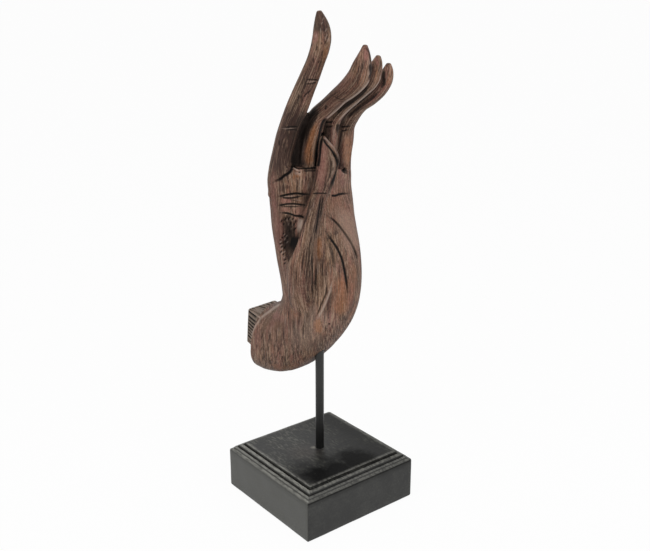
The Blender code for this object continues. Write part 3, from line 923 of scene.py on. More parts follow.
def grain_places(points):
    """Places of the points in the grain, in metres: x and y across it, z along it. It runs
    up the palm and follows each finger. Points are in the hand's own frame."""
    best = np.full(len(points), FAR)
    places = points.copy()
    for name, (start, run) in GRAIN_TURNS_MM.items():
        rings = through(LIMBS[name], GRAIN_STEPS) * MM
        lengths = np.linalg.norm(np.diff(rings[:, :3], axis=0), axis=1)
        reached = np.concatenate(([0], np.cumsum(lengths)))
        frames = np.array([limb_frame(rings, k) for k in range(len(rings))])
        for chunk in np.array_split(np.arange(len(points)), CHUNKS):
            gaps = points[chunk, None] - rings[None, :, :3]
            near = np.argmin((gaps**2).sum(2), axis=1)
            gap = gaps[np.arange(len(chunk)), near]
            along, side, front = ((gap * frames[near, k]).sum(1) for k in range(3))
            skin_share = np.hypot(side / rings[near, 3], front / rings[near, 4])
            skin_share = np.hypot(skin_share, along / TIP_REACH * (np.abs(along) > TIP_REACH))
            along = along + reached[near]
            nearer = skin_share < best[chunk]
            weight = smooth_step(along, start * MM, (start + run) * MM)
            weight *= smooth_step(-skin_share, -SKIN_REACH[0], -SKIN_REACH[1])
            here = rings[0, :3] + np.stack((side, front, along), axis=1)
            mixed = points[chunk] + (here - points[chunk]) * weight[:, None]
            places[chunk[nearer]] = mixed[nearer]
            best[chunk[nearer]] = skin_share[nearer]
    return places


# Strokes of dark brown stain, laid on with a wide brush, and strokes of painted shade in the
# index fold, the web hollow and on the tenon's side: each its width, how dark it is and its
# path as seen in the photograph (width and path in pixels, about 1 mm each)
STAINS_AND_SHADE = {
    "index_tip": (21, 0.6, (318, 10), (320, 20), (321, 34)),
    "index_middle": (28, 0.45, (322, 52), (312, 74), (300, 98)),
    "index_base": (32, 0.95, (300, 102), (290, 130), (284, 152), (278.6, 182)),
    "middle_low": (25, 0.5, (358, 78), (340, 98), (322, 118)),
    "ring_low": (12, 0.1, (334, 128), (331, 142)),
    "thumb": (24, 0.4, (326, 140), (326, 168), (318, 200), (308, 240)),
    "fold_shade": (12, 0.75, (281, 185), (284.6, 191)),
    # Painted shade in the web hollow and along its top edge
    "hollow": (17, 0.95, (283.8, 217), (284, 230), (285.4, 250)),
    "hollow_top_edge_shade": (5, 0.8, (283, 216.8), (287, 217.6), (291, 219.6)),
    "palm_edge": (5, 0.4, (357.6, 268), (357, 285), (349, 312), (336, 333), (322, 347)),
    "palm_left": (15, 0.45, (274, 190), (279, 222), (288, 256)),
    "palm_middle": (24, 0.3, (313, 246), (314, 276), (312, 300)),
    "palm_low": (16, 0.4, (330, 336), (318, 346), (312, 352)),
    "wrist": (15, 0.3, (266, 322), (284, 324), (302, 320)),
    # Painted shade on the tenon's side, darker than its top
    "tenon_side_shade": (15, 0.7, (250, 313), (249.6, 326), (250, 340)),
}

# Patches where the stain is rubbed in smooth and turns orange or pink: each its width, how
# much less grain shows, its tint (below 0 is pink) and its path
PATCHES = {
    "index_tip_pink": (6.0, 0.85, -1.0, (316.6, 30), (315.8, 36), (314.4, 43)),
    "index_tip_top": (8.0, 0.6, -0.25, (317.6, 11), (318.6, 18), (318.4, 26)),
    "index_tip_right": (5.0, 0.6, 0.45, (326.6, 47), (325, 54), (322.6, 62)),
    "index_red": (6.0, 0.2, -0.6, (313, 54), (315, 60), (316.4, 66)),
    "middle_tip_pink": (6.5, 0.8, -1.0, (366.4, 47), (365.8, 53), (366, 61)),
    "middle_red": (15.0, 0.45, -0.55, (352, 72), (346, 82), (340, 92)),
    "middle_low_red": (9.0, 0.3, -0.3, (336, 98), (328, 106), (322, 114)),
    "ring_tip_pink": (4.4, 0.5, -0.8, (376.6, 56.5), (377, 60), (377.6, 66)),
    "ring_warm": (5.0, 0.2, 0.6, (377, 70), (377.4, 77), (375.6, 84)),
    "little_tip_pink": (3.8, 0.4, -0.6, (388, 65), (388.6, 68), (389.6, 72)),
    "little_tip_warm": (5.0, 0.2, 0.5, (389, 72), (389.4, 78), (387.6, 86)),
    "middle_strip_warm": (11.0, 0.6, 1.0, (316.6, 124), (312, 140), (309.4, 155), (308.4, 167)),
    "thumb_pink": (14.0, 0.85, -0.75, (323.4, 141), (322.8, 160), (320, 190)),
    "ring_base_red": (7.0, 0.4, -0.7, (333.4, 128), (334, 137), (333.4, 148)),
    "little_base_warm": (10.0, 0.6, 0.75, (347.6, 136), (347, 150), (346.6, 164)),
    "little_base_pink": (8.0, 0.5, -0.8, (341, 158), (341.8, 172), (343.4, 188)),
    "palm_right": (24.0, 0.6, 0.15, (338, 204), (349, 226), (353, 252)),
    "palm_top": (18.0, 0.5, 0.1, (320, 203), (332, 204), (344, 207)),
    "ledge_warm": (5.0, 0.3, 1.0, (292, 175), (297, 175.6), (301, 175)),
    "palm_edge_pink": (8.0, 0.6, -0.7, (272.6, 192), (274.6, 214), (277.4, 236), (281, 256)),
    "folds_pink": (7.0, 0.8, -0.8, (280, 201), (286, 201.2), (292, 201)),
    "folds_pink_low": (6.0, 0.8, -0.7, (279, 209), (286, 209.4), (291, 210)),
    "folds_right": (8.0, 0.8, 0, (298, 200), (304, 200), (309, 200)),
    "folds_right_low": (9.0, 0.8, -0.3, (296, 209), (303, 211), (307, 212.6)),
    "hollow_red": (9.0, 0.5, -1.0, (280, 218), (281.4, 231), (282.6, 242)),
    "streak_warm": (6.0, 0.6, 1.0, (318.8, 237), (319, 248), (320, 260)),
    "palm_low_warm": (20.0, 0.6, 0.55, (343, 276), (342, 296), (338, 316)),
    "palm_side_warm": (9.0, 0.45, 0.3, (354, 262), (353, 285), (348, 305)),
    "palm_pink": (6.0, 0.3, -0.7, (336, 262), (338, 272)),
    "ridge_warm": (10.0, 0.8, 1.0, (319.4, 319), (318, 326), (319.4, 333)),
    "wrist_pink": (8.0, 0.5, -0.8, (272, 315), (279, 316.6), (285, 321)),
    "wrist_smooth": (14.0, 0.6, 0, (264, 326), (274, 323), (282, 326)),
    "wrist_end_pink": (8.0, 0.3, -0.4, (257.4, 334), (261, 344)),
    "heel_bottom": (8.0, 0.8, 0.2, (272, 365), (286, 369), (302, 365)),
    "heel_side": (14.0, 0.4, -0.25, (300, 262), (298, 280), (296, 300)),
}

# Gouge cuts and strokes of wash, broad ones first, among them strokes of painted shade in
# the gaps between fingers, under the fingers, in the recesses and the web hollow and on the
# index finger's side, and a painted highlight on the ledge's rim: each its width, its depth
# in mm (below 0 is a ridge), how black its wash or painted shade is (below 0 is worn pale,
# and on the ledge's rim a painted highlight), the share of its length that tapers at its
# start and at its end, and its path
CUTS = {
    "index_tip_grey": (21.0, 0, 0.35, 0.05, 0.3, (318, 10), (320.5, 20), (323.4, 36)),
    # Painted shade on the index finger's right side, which turns away from the light
    "index_edge_shade": (
        7.0, 0, 0.5, 0.2, 0.3, (304, 108), (298, 128), (293.4, 146), (289, 162),
    ),
    "index_upper_crease": (1.7, 0.5, 0.8, 0.3, 0.05, (304.6, 79.8), (311, 79.7), (318.8, 80.4)),
    "index_crease_light": (1.7, 0, -0.45, 0.3, 0.2, (305.4, 81.8), (311, 81.7), (316.6, 81.4)),
    "index_lower_crease": (1.5, 0.4, 0.75, 0.2, 0.2, (305.4, 84), (311.5, 83.8), (317.4, 81.6)),
    "index_crease_end": (2.0, 0.3, 0.5, 0.4, 0.2, (303.4, 76.5), (304.6, 81), (305.6, 85.4)),
    "index_nick": (
        1.5, 0.5, 0.85, 0.3, 0.3, (303.8, 99), (304.7, 95.9), (308.4, 92.4), (312.3, 88.8),
    ),
    "index_nick_side": (1.4, 0.4, 0.7, 0.2, 0.4, (302.2, 95.3), (301.9, 99.4), (302, 104)),
    "index_base_crease": (
        1.7, 0.5, 0.9, 0.3, 0.05, (283.4, 127.6), (290, 126.9), (297.6, 126.6),
    ),
    "index_base_light": (1.5, -0.1, -0.4, 0.3, 0.3, (280.6, 128.8), (288, 128.5), (296, 128.2)),
    "index_base_crease_two": (
        1.5, 0.4, 0.8, 0.3, 0.2, (284.4, 130.3), (290, 129.8), (296, 129.9), (298.2, 133.4),
    ),
    "middle_crease": (
        1.3, 0.4, 0.6, 0.3, 0.2, (331.9, 95.2), (336, 97.6), (340.4, 99.4), (346.4, 99.6),
    ),
    "middle_crease_two": (
        1.2, 0.35, 0.45, 0.3, 0.1, (336.5, 100.4), (341, 101.6), (346, 101.8),
    ),
    "middle_low_dark": (2.0, 0.3, 0.85, 0.3, 0.3, (326.4, 104.4), (325.8, 107.4), (325, 110.4)),
    "middle_edge_light": (
        2.2, -0.25, -0.75, 0.1, 0.1, (369.4, 79.1), (367.2, 83.6), (360, 91.3), (351.8, 97.6),
        (346, 101.2), (339, 108), (330.2, 115.4), (323.5, 121),
    ),
    "middle_edge_light_high": (1.8, 0, -0.7, 0.3, 0.2, (369, 57), (369.2, 68), (368.6, 78)),
    "middle_tip_dark": (
        1.8, 0, 0.75, 0.2, 0.3, (364.6, 46.6), (368.2, 50.4), (370.4, 58), (370.6, 66),
    ),
    "middle_line": (1.5, 0.25, 0.6, 0.3, 0.3, (363.6, 60), (362.8, 65), (362, 71)),
    "middle_line_two": (1.6, 0.25, 0.5, 0.3, 0.3, (359.4, 75), (358, 80), (357.4, 86)),
    "ring_edge_light": (
        2.2, -0.25, -0.75, 0.1, 0.1, (380.9, 73.7), (379.3, 81), (374.8, 87.6), (367, 94.2),
        (357.6, 102.3), (350.7, 108.4), (343.9, 114.4), (337.9, 122.1),
    ),
    # Painted shadow in the gap between middle and ring finger, over a shallow cut
    "ring_left_gap_shadow": (
        4.0, 0.3, 0.9, 0.2, 0.2, (371.4, 62), (370.6, 68), (371.6, 74), (368.6, 80),
    ),
    # Painted shadow on the ring finger under the middle finger
    "ring_shadow_under_middle": (
        4.6, 0, 0.85, 0.15, 0.1, (369, 83), (363, 92), (354, 99.6), (344, 106.6), (335, 114),
    ),
    "ring_crease": (2.0, 0.7, 0.95, 0.05, 0.3, (325.6, 122.4), (329, 122.2), (333.4, 121.6)),
    "ring_crease_two": (1.8, 0.6, 0.9, 0.05, 0.3, (325.8, 127.4), (329, 127), (333, 125.6)),
    "ring_base_dark": (
        5.0, 0, 0.4, 0.05, 0.4, (327.4, 124), (327.6, 131), (326.6, 140), (325, 152),
    ),
    "ring_base_pink": (3.4, 0, -0.35, 0.1, 0.4, (333.4, 127), (333.8, 135), (333.2, 144)),
    "ring_little_shade": (4.6, 0.2, 0.85, 0.05, 0.5, (338, 124), (338, 130), (337.8, 137)),
    # Painted shadow in the gap between ring and little finger, over a shallow cut
    "little_left_gap_shadow": (
        3.6, 0.2, 0.9, 0.2, 0.2, (384.6, 69), (383.4, 75), (384, 82), (381, 88),
    ),
    # Painted shadow on the little finger under the ring finger
    "little_shadow_under_ring": (
        3.6, 0, 0.8, 0.2, 0.1, (379, 91), (372, 98), (364, 103.6), (355, 111), (347, 118),
    ),
    "little_crease": (1.7, 0.6, 0.9, 0.05, 0.3, (341.2, 127), (346, 126.6), (351.6, 125.8)),
    "little_crease_two": (
        1.7, 0.6, 0.85, 0.05, 0.4, (341.6, 130.9), (345, 130.5), (349, 129.6),
    ),
    "little_base_gap": (
        4.8, 1.3, 1.0, 0.1, 0.5, (342.4, 168), (344, 170.2), (346, 172), (349.6, 173.6),
    ),
    "little_base_light": (8.0, 0, -0.2, 0.2, 0.2, (346, 134), (346.4, 150), (346, 166)),
    "little_base_dot": (1.6, 0, -0.9, 0.3, 0.3, (342.8, 173.6), (344.6, 173.8)),
    "index_fold": (
        3.0, 1.7, 1.0, 0.35, 0.05, (271.6, 183.6), (275.8, 180.9), (280.4, 179),
        (283.4, 176.3), (289, 172.9), (292, 168.6), (292.4, 165),
    ),
    "gap_ledge": (
        1.9, 1.2, 1.0, 0.1, 0.05, (292, 164), (295, 167.4), (300, 168.4), (308, 168.2),
        (316.5, 167.8),
    ),
    "gap_ledge_low": (2.4, 0.5, 0.75, 0.2, 0.1, (302.6, 170.8), (309, 170.8), (316, 170.4)),
    # Painted highlight on the raised rim of the ledge
    "gap_ledge_highlight": (
        1.5, -0.3, -0.9, 0.2, 0.4, (291.4, 165.8), (294.6, 168.4), (298.4, 170.6),
        (303, 170.6),
    ),
    "gap_ledge_nick": (1.8, 0.4, 0.9, 0.3, 0.3, (298.6, 172.4), (300.6, 172)),
    "gap_ledge_scratch": (
        1.4, 0, -0.8, 0.3, 0.3, (293.6, 172.2), (297.6, 173.4), (302.8, 173.2),
    ),
    "fold_one": (
        2.3, 1.3, 1.0, 0.15, 0.2, (277.6, 197), (282.6, 195.8), (290.7, 194.2), (295.9, 193.5),
        (303.4, 194.4), (311, 194.6),
    ),
    "fold_one_light": (1.3, -0.1, -0.5, 0.3, 0.3, (282.6, 197), (289, 196.4), (297, 195.4)),
    "fold_one_line": (
        1.8, 0.8, 0.95, 0.2, 0.3, (280.6, 197), (285, 198), (291.4, 198.2), (298, 197),
        (304.4, 196),
    ),
    "fold_two": (
        2.0, 1.0, 1.0, 0.2, 0.2, (277.6, 205.6), (281, 205.2), (286.1, 204.2), (294.7, 203.9),
        (299.4, 204.4), (308, 205.6),
    ),
    "fold_two_line": (
        1.5, 0.4, 0.8, 0.2, 0.3, (280.6, 206.8), (287, 206.8), (294, 206.8), (305, 206),
    ),
    "fold_two_light": (1.2, 0, -0.3, 0.3, 0.3, (283, 205.6), (292, 205.3), (301, 205.4)),
    "fold_three": (
        2.2, 0.9, 1.0, 0.2, 0.2, (278.8, 212.6), (286, 213.2), (290.3, 214), (294.7, 215.7),
        (301.9, 216.6), (305, 218.4),
    ),
    "palm_line": (
        1.7, 0.4, 0.9, 0.2, 0.1, (311, 193.6), (317, 193.3), (322, 193.3), (328, 193.4),
    ),
    "palm_line_end": (
        2.4, 0.9, 1.0, 0.05, 0.4, (331.4, 195.6), (335.4, 195.6), (339.4, 194.2), (345, 193.6),
        (351, 193.2),
    ),
    "arc_one": (
        2.4, 0.8, 1.0, 0.25, 0.2, (326, 214.6), (334, 220.4), (342.6, 230), (350.4, 241.6),
        (355.4, 252), (358.6, 263),
    ),
    "arc_two": (
        2.6, 1.0, 1.0, 0.2, 0.2, (325.4, 231.6), (331.3, 239.6), (337.3, 248.4),
        (341.9, 258.4), (344.6, 270), (346.8, 284), (347.8, 300),
    ),
    "thumb_groove_high": (
        2.1, 0.7, 1.0, 0.2, 0.02, (322.9, 137.8), (324.4, 141.4), (329.4, 147.6),
        (334.8, 154.4),
    ),
    "thumb_groove": (
        3.3, 2.0, 1.0, 0.14, 0.25, (331.4, 150.4), (334.8, 155), (337, 160), (337.8, 165),
        (337, 170.6), (334, 179), (330.8, 187), (327.8, 195),
    ),
    "palm_right_pale": (24.0, 0, -0.3, 0.3, 0.3, (337, 205), (349, 230), (354, 258)),
    "palm_heel_pale": (40.0, 0, -0.2, 0.3, 0.3, (330, 300), (312, 330), (290, 352)),
    "thumb_rim": (
        2.6, -0.3, -0.6, 0.05, 0.5, (324.6, 137.6), (327.4, 140.4), (331.6, 145.4), (336, 151),
    ),
    "thumb_worn_strip": (
        2.2, 0, -0.4, 0.2, 0.3, (328.8, 152.6), (332.4, 158.4), (334, 165), (332.8, 172),
        (329.6, 180.4),
    ),
    "thumb_inner_line": (
        1.6, 0.2, 0.6, 0.3, 0.3, (329, 155), (330.8, 163), (330.6, 172), (328.4, 181),
    ),
    "thumb_boundary": (
        1.7, 0.3, 0.65, 0.1, 0.1, (317.6, 168.6), (316.6, 175), (314.6, 183.5), (313.6, 192),
    ),
    "thumb_boundary_right": (
        1.5, 0.25, 0.6, 0.3, 0.1, (325.9, 174), (325.4, 182), (324.6, 192),
    ),
    "thumb_boundary_low": (
        1.8, 0.4, 0.8, 0.1, 0.4, (311.6, 196.4), (308.6, 208), (306, 218), (302.6, 227),
        (299.8, 237), (298.8, 247),
    ),
    "thumb_streak": (
        4.4, 0.2, 0.25, 0.05, 0.3, (322, 194.6), (319.8, 208), (317.8, 220), (314.4, 234.8),
        (311.4, 246), (310.2, 262), (311, 282), (313, 304),
    ),
    "thumb_streak_line": (
        1.7, 0.5, 1.0, 0.1, 0.3, (320.8, 195.6), (319.3, 208.2), (317.9, 219.5),
        (316.3, 229.3), (313.7, 239),
    ),
    "thumb_streak_line_two": (
        1.5, 0.4, 0.9, 0.1, 0.3, (323.2, 196.3), (321.6, 208.2), (320, 219),
    ),
    "thumb_streak_line_three": (
        1.6, 0.4, 0.8, 0.2, 0.2, (313, 233.5), (310.4, 241.5), (309, 253), (309.2, 268),
        (309.6, 284),
    ),
    "thumb_streak_line_four": (
        1.5, 0.4, 0.9, 0.2, 0.3, (312.6, 246), (312.2, 262), (312.5, 276), (312.4, 290),
        (312.8, 300),
    ),
    "thumb_streak_line_five": (
        1.7, 0.4, 0.9, 0.3, 0.3, (315.8, 262), (316, 272), (315.6, 282), (315.6, 292),
    ),
    "thumb_side_line": (
        1.6, 0.3, 0.55, 0.3, 0.4, (307.4, 242), (306.7, 256), (307, 274), (306.6, 290),
    ),
    "palm_grey_streak": (
        3.4, 0.15, 0.5, 0.2, 0.3, (327.8, 240), (331.3, 250.3), (334, 262), (334.6, 276),
    ),
    "middle_gap": (
        5.4, 1.6, 1.0, 0.1, 0.02, (326, 117.6), (322.2, 129), (320, 141), (318.4, 153),
        (317, 166.6),
    ),
    # Painted shadow in the gap at the thumb's left side, over a shallow cut
    "thumb_left_gap_shadow": (
        5.0, 0.3, 0.95, 0.1, 0.3, (320.5, 138), (319.3, 147), (318.1, 156), (317.1, 167),
    ),
    # Painted shade on the middle finger's left side, in the recess
    "middle_left_shade": (
        8.6, 0, 0.8, 0.1, 0.02, (317.6, 108), (312.8, 117), (307, 128), (302, 142),
        (297.8, 156), (295.4, 166),
    ),
    "recess_grey": (
        2.6, 0, -0.55, 0.3, 0.2, (306.4, 132), (303.8, 144), (302, 155), (301.2, 164),
    ),
    "strip_light": (
        2.0, 0, -0.35, 0.2, 0.2, (317.4, 131), (315, 142), (313.4, 152), (312.6, 161),
    ),
    # Painted shade in the recess between index and middle finger
    "recess_shade": (9.0, 0, 0.85, 0.1, 0.02, (311, 111), (303, 128), (298, 146), (293.6, 164)),
    "middle_warm_line": (1.3, 0.2, 0.6, 0.3, 0.1, (312.6, 142), (310.4, 154), (309.4, 166)),
    # Painted shade in the web hollow; two of these strokes also cut a little deeper
    "hollow_shade": (
        11.0, 0, 0.55, 0.2, 0.3, (287.6, 219), (289.6, 232), (290, 245), (288.4, 259),
    ),
    "hollow_deep_shade": (
        11.0, 0.5, 1.0, 0.2, 0.6, (296.6, 233), (294.4, 243), (291.6, 251), (288.4, 260),
    ),
    "hollow_top_shade": (
        7.0, 0.4, 0.75, 0.3, 0.1, (288.6, 222), (290.4, 228), (292, 234), (293, 240),
    ),
    "hollow_facet": (6.6, 0.0, -1.0, 0.1, 0.4, (300.8, 218.8), (299.8, 225), (298, 233)),
    "palm_ridge": (
        3.4, -0.6, -0.75, 0.3, 0.2, (331.8, 281), (329.4, 292.5), (324.4, 305), (321.2, 312),
        (317, 320),
    ),
    "palm_ridge_line": (
        1.6, 0.4, 0.8, 0.2, 0.3, (327, 281), (325.6, 294), (321, 305), (318.4, 312),
        (315.4, 318),
    ),
    "palm_ridge_shade": (
        6.0, 0.6, 0.5, 0.25, 0.25, (333, 290), (331, 298), (328.6, 307), (326.4, 319),
    ),
    "palm_dot": (1.9, 0.5, 1.0, 0.3, 0.3, (329.2, 323), (329.3, 325)),
    "wrist_rim_top": (3.4, -0.3, -0.8, 0.1, 0.02, (281, 303.6), (271, 310.4), (261.4, 317.4)),
    "wrist_rim_side": (
        2.6, -0.3, -0.7, 0.02, 0.2, (261.4, 317.4), (256.4, 324.6), (252.6, 332), (250.6, 341),
    ),
    "tenon_edge": (2.0, -0.2, -1.0, 0.1, 0.05, (249.4, 311), (255, 314.6), (261, 318)),
}

# Short marks of the same kinds: where each starts and ends in the photograph. SHORT_CUTS
# gives for each kind its width, depth and wash.
HOLLOW_NICKS = (
    (281.2, 239.3, 279.4, 240.6), (281.6, 242.4, 279.4, 244.7), (282.5, 245.6, 280.3, 248.2),
    (281.6, 250, 280.3, 253.6), (284.3, 253.1, 282.1, 255.8), (286.6, 245.6, 283.4, 249.1),
    (286.1, 234.8, 283.9, 237.5), (284.3, 232.6, 283, 234.8), (283.4, 236.8, 281.6, 238.6),
    (288.4, 237.2, 286.6, 239.6), (286.4, 240.4, 284.4, 242.6), (286.6, 258.6, 283.4, 260.8),
    (286, 262, 283.4, 264.6), (282.2, 219.6, 281, 223), (284.6, 222.6, 283, 226),
    (286.4, 217.4, 284.2, 221.6), (288.9, 217, 288.2, 221), (291.2, 221.2, 289.6, 226.4),
    (293.4, 217.6, 292.2, 220.4), (294.8, 222.8, 292.8, 226.6), (296.1, 219.6, 295.2, 224),
    (296.8, 226.8, 291.9, 232.2), (290.6, 229.6, 288.4, 233),
)
HOLLOW_LIGHTS = (
    (282.4, 240.6, 279.6, 242.9), (283, 243.9, 280, 246.6), (283.6, 247.2, 281, 250),
    (283, 251.4, 281.2, 254.6), (285.6, 250.4, 283.4, 252.8), (285.8, 256, 283.2, 258.4),
)
# Painted highlights: glints on the ticks inside the dark hollow
HOLLOW_GLINTS = (
    (287.4, 218, 286.6, 222), (290.6, 217.6, 289.8, 220.6), (294.4, 218.4, 293.8, 221.8),
    (293.2, 223.4, 291.6, 226.8), (289.4, 222.6, 287.8, 226), (285.2, 233.4, 283.4, 236),
    (292.8, 227.6, 290, 230.4), (287.6, 234.6, 285.6, 237.6), (285.8, 238, 284, 240.4),
    (288.6, 240.6, 286.4, 243.6),
)
TIP_SCRATCHES = (
    (323.2, 21.4, 320.8, 24.6), (327.4, 27.8, 325, 32), (327.4, 33.2, 325, 40.6),
    (320.4, 27, 320.9, 33.8), (328.6, 37, 327.6, 42.4), (324.2, 17, 322, 21),
    (316.6, 33, 315.4, 38.6),
)
TIP_NICKS = (
    (322.4, 28, 322, 30.4), (324.8, 28.4, 324.4, 31), (325.6, 34.3, 324.5, 37.3),
    (327.8, 35.6, 326.8, 39.6), (326.5, 40.1, 325, 44.4), (321.9, 42, 321.7, 44.8),
    (328.2, 22.6, 327.8, 25), (317.5, 45, 316, 51.6), (323, 49.4, 321.3, 57),
    (319.4, 60.4, 318.2, 63.4), (312.9, 57, 313.9, 63.2), (311.8, 43.6, 311.2, 46.6),
    (298.4, 92, 297.8, 103), (288.4, 131, 287.7, 141.4), (286.3, 145.6, 285.3, 153.8),
    (279.3, 139.4, 279.2, 146.4), (283.6, 143, 283.2, 147.2),
)
PALM_NICKS = (
    (331.6, 160, 331.4, 164.4), (333.2, 166.6, 332.8, 171.4), (331.2, 174, 329.8, 179),
    (328.6, 182.4, 327.4, 188), (302.6, 177.4, 301.8, 188.6), (306.4, 175.4, 305.6, 186),
    (297.8, 180, 297, 190.4), (310.6, 176.6, 309.8, 185), (287.6, 184, 287.2, 190),
    (290.4, 200, 297.6, 200.6), (325.6, 325, 325.4, 333), (330.4, 327, 330.2, 334),
    (336, 318.4, 335.6, 325), (345, 315, 344.2, 319.6), (303.6, 322, 303.2, 336),
    (299.4, 312, 299, 326), (308.4, 308, 307.6, 320), (294.4, 318, 293.6, 330),
    (289, 308, 288.4, 322), (284, 330, 282.4, 342), (277.6, 334, 275.6, 345),
    (270.6, 332, 268, 343), (263.4, 330, 261.4, 340), (291.6, 262, 291.2, 280),
    (262, 335, 261.2, 340), (268.6, 346, 267.4, 352), (275, 343, 274.2, 348),
    (279.4, 347, 277.8, 352), (284, 341, 283, 346), (287.4, 348, 285.6, 353),
    (262.4, 346, 261, 351), (257.4, 344, 256.8, 349), (272.6, 353, 270, 358),
    (278, 354, 275.2, 359), (283.6, 355, 281, 360), (289.6, 355, 287, 360),
    (271, 359.6, 268, 363.4), (277, 361, 274, 364.6), (294.6, 351, 292.6, 356),
    (298.4, 344, 297, 350), (265, 355, 262.6, 359.4), (296.6, 266, 296.2, 286),
    (302.4, 256, 302.2, 276), (289.4, 286, 289.6, 302), (322.6, 262, 322.4, 278),
)
PALM_LIGHTS = (
    (300.2, 177, 299.4, 189.6), (304.6, 177, 303.8, 187.4), (308.6, 182, 308, 190.6),
    (293.4, 199.6, 303, 200.8), (311.2, 207, 309, 217), (314.2, 201, 313, 210),
    (318, 262, 317.6, 276), (300.4, 262, 300.2, 280), (293.8, 284, 293.6, 298),
    (286, 312, 285.4, 326), (296.6, 314, 296, 330), (305.6, 310, 305, 326),
    (279, 326, 277, 339), (272, 324, 269.6, 336), (329.8, 262, 330.4, 275),
)
SHORT_CUTS = (
    (HOLLOW_NICKS, 1.7, 0.6, 0.9),
    (HOLLOW_LIGHTS, 1.5, -0.2, -0.6),
    (HOLLOW_GLINTS, 1.5, -0.2, -0.45),
    (TIP_SCRATCHES, 1.5, -0.15, -0.5),
    (TIP_NICKS, 1.5, 0.3, 0.7),
    (PALM_NICKS, 1.3, 0.2, 0.6),
    (PALM_LIGHTS, 1.4, -0.15, -0.35),
)
SHORT_TAPERS = (0.3, 0.3)
every_cut = list(CUTS.values())
for short_marks, *looks in SHORT_CUTS:
    for u, v, end_u, end_v in short_marks:
        middle = ((u + end_u) / 2, (v + end_v) / 2)
        every_cut.append((*looks, *SHORT_TAPERS, (u, v), middle, (end_u, end_v)))

hand_points = read(hand.data)
hand_normals = read(hand.data, "normal")
stain_and_shade, calm, wash_and_shade, wear_and_highlight, warm, pink, sink = np.zeros((7, len(hand_points)))
sight = hand_points - np.array(camera_place)
away = -sight @ np.array(camera_back)
seen_at = np.stack(
    (
        PHOTO_WIDTH / 2 + PHOTO_FOCAL_PIXELS * (sight @ np.array(camera_right)) / away,
        PHOTO_HEIGHT / 2 - PHOTO_FOCAL_PIXELS * (sight @ np.array(camera_up)) / away,
    ),
    axis=1,
)
facing = -(hand_normals * sight).sum(1) / np.linalg.norm(sight, axis=1)
TURNS_SIDEWAYS = (0.6, 0.9)
# Painted shade: the skin is darkened where it turns away from the camera, along the outline
EDGE_SHADE = 0.5
EDGE_FACING = 0.45
sideways = np.abs(hand_normals @ np.array(camera_right))
sideways = smooth_step(sideways, *TURNS_SIDEWAYS)
stain_and_shade += EDGE_SHADE * smooth_step(-facing, -EDGE_FACING, 0)

# How far a stroke carries: round the skin, in depth, and past its own edge
CUT_REACH = 6 * MM
REACH_PER_WIDTH = 0.6
STROKE_STEPS = 42
LEAST_STEPS = 4
THIN_END = 0.35
TAPER = (-0.25, 1)
ROUNDNESS = 1.3
COVER_END = 1.2
BESIDE_PIXELS = 3
HIDDEN = -0.15
SEEN = 0.05
TINT_CLEARS = 0.6


def stroke(path, width, start_taper=0.2, end_taper=0.2):
    """Points of the hand that a stroke covers, how deep it is there (0 to 1), and how
    much of its colour they take."""
    line = through(path, max(LEAST_STEPS, STROKE_STEPS // len(path)))
    hits = [hand.ray_cast(camera_place, sight_line(u, v)) for u, v in line]
    line = line[np.array([found for found, *rest in hits])]
    line_away = [-(at - camera_place).dot(camera_back) for found, at, *rest in hits if found]
    low, high = line.min(0) - width, line.max(0) + width
    near = np.flatnonzero(((seen_at > low) & (seen_at < high)).all(1) & (facing > HIDDEN))
    runs = np.diff(line, axis=0)
    gaps = seen_at[near, None] - line[:-1]
    share = np.clip((gaps * runs).sum(2) / ((runs**2).sum(1) + 1e-12), 0, 1)
    distance = np.linalg.norm(gaps - share[:, :, None] * runs, axis=2)
    nearest = distance.argmin(1)
    rows = np.arange(len(near))
    along = (nearest + share[rows, nearest]) / (len(line) - 1)
    taper = smooth_step(np.minimum(along / start_taper, (1 - along) / end_taper), *TAPER)
    off = distance[rows, nearest] / (width / 2 * (THIN_END + (1 - THIN_END) * taper))
    beside = distance < distance.min(1)[:, None] + BESIDE_PIXELS
    deeper = np.abs(away[near, None] - np.array(line_away[:-1]))
    behind = np.where(beside, deeper, 1).min(1)
    on_it = smooth_step(facing[near], HIDDEN, SEEN) * taper
    on_it *= behind < CUT_REACH + width * MM * REACH_PER_WIDTH
    profile = np.clip(1 - off**2, 0, 1) ** ROUNDNESS
    return near, profile * on_it, np.clip(2 * (COVER_END - off), 0, 1) * on_it


for width, dark, *path in STAINS_AND_SHADE.values():
    near, profile, _ = stroke(path, width)
    stain_and_shade[near] = np.maximum(stain_and_shade[near], dark * np.sqrt(profile))
for width, less, tint, *path in PATCHES.values():
    near, profile, _ = stroke(path, width)
    calm[near] = np.maximum(calm[near], less * np.sqrt(profile))
    pink[near] = np.maximum(pink[near], -tint * np.sqrt(profile))
    warm[near] = np.maximum(warm[near], tint * np.sqrt(profile))
    stain_and_shade[near] *= 1 - TINT_CLEARS * abs(tint) * profile
for width, depth, black, start, end, *path in every_cut:
    near, profile, cover = stroke(path, width, start, end)
    deeper = np.abs(depth) * profile > np.abs(sink[near])
    sink[near] = np.where(deeper, depth * profile, sink[near])
    if black > 0:
        wash_and_shade[near] = np.maximum(wash_and_shade[near], black * cover)
        wear_and_highlight[near] *= 1 - black * cover
    if black < 0:
        wear_and_highlight[near] = np.maximum(wear_and_highlight[near], -black * profile)
        wash_and_shade[near] *= 1 + black * profile

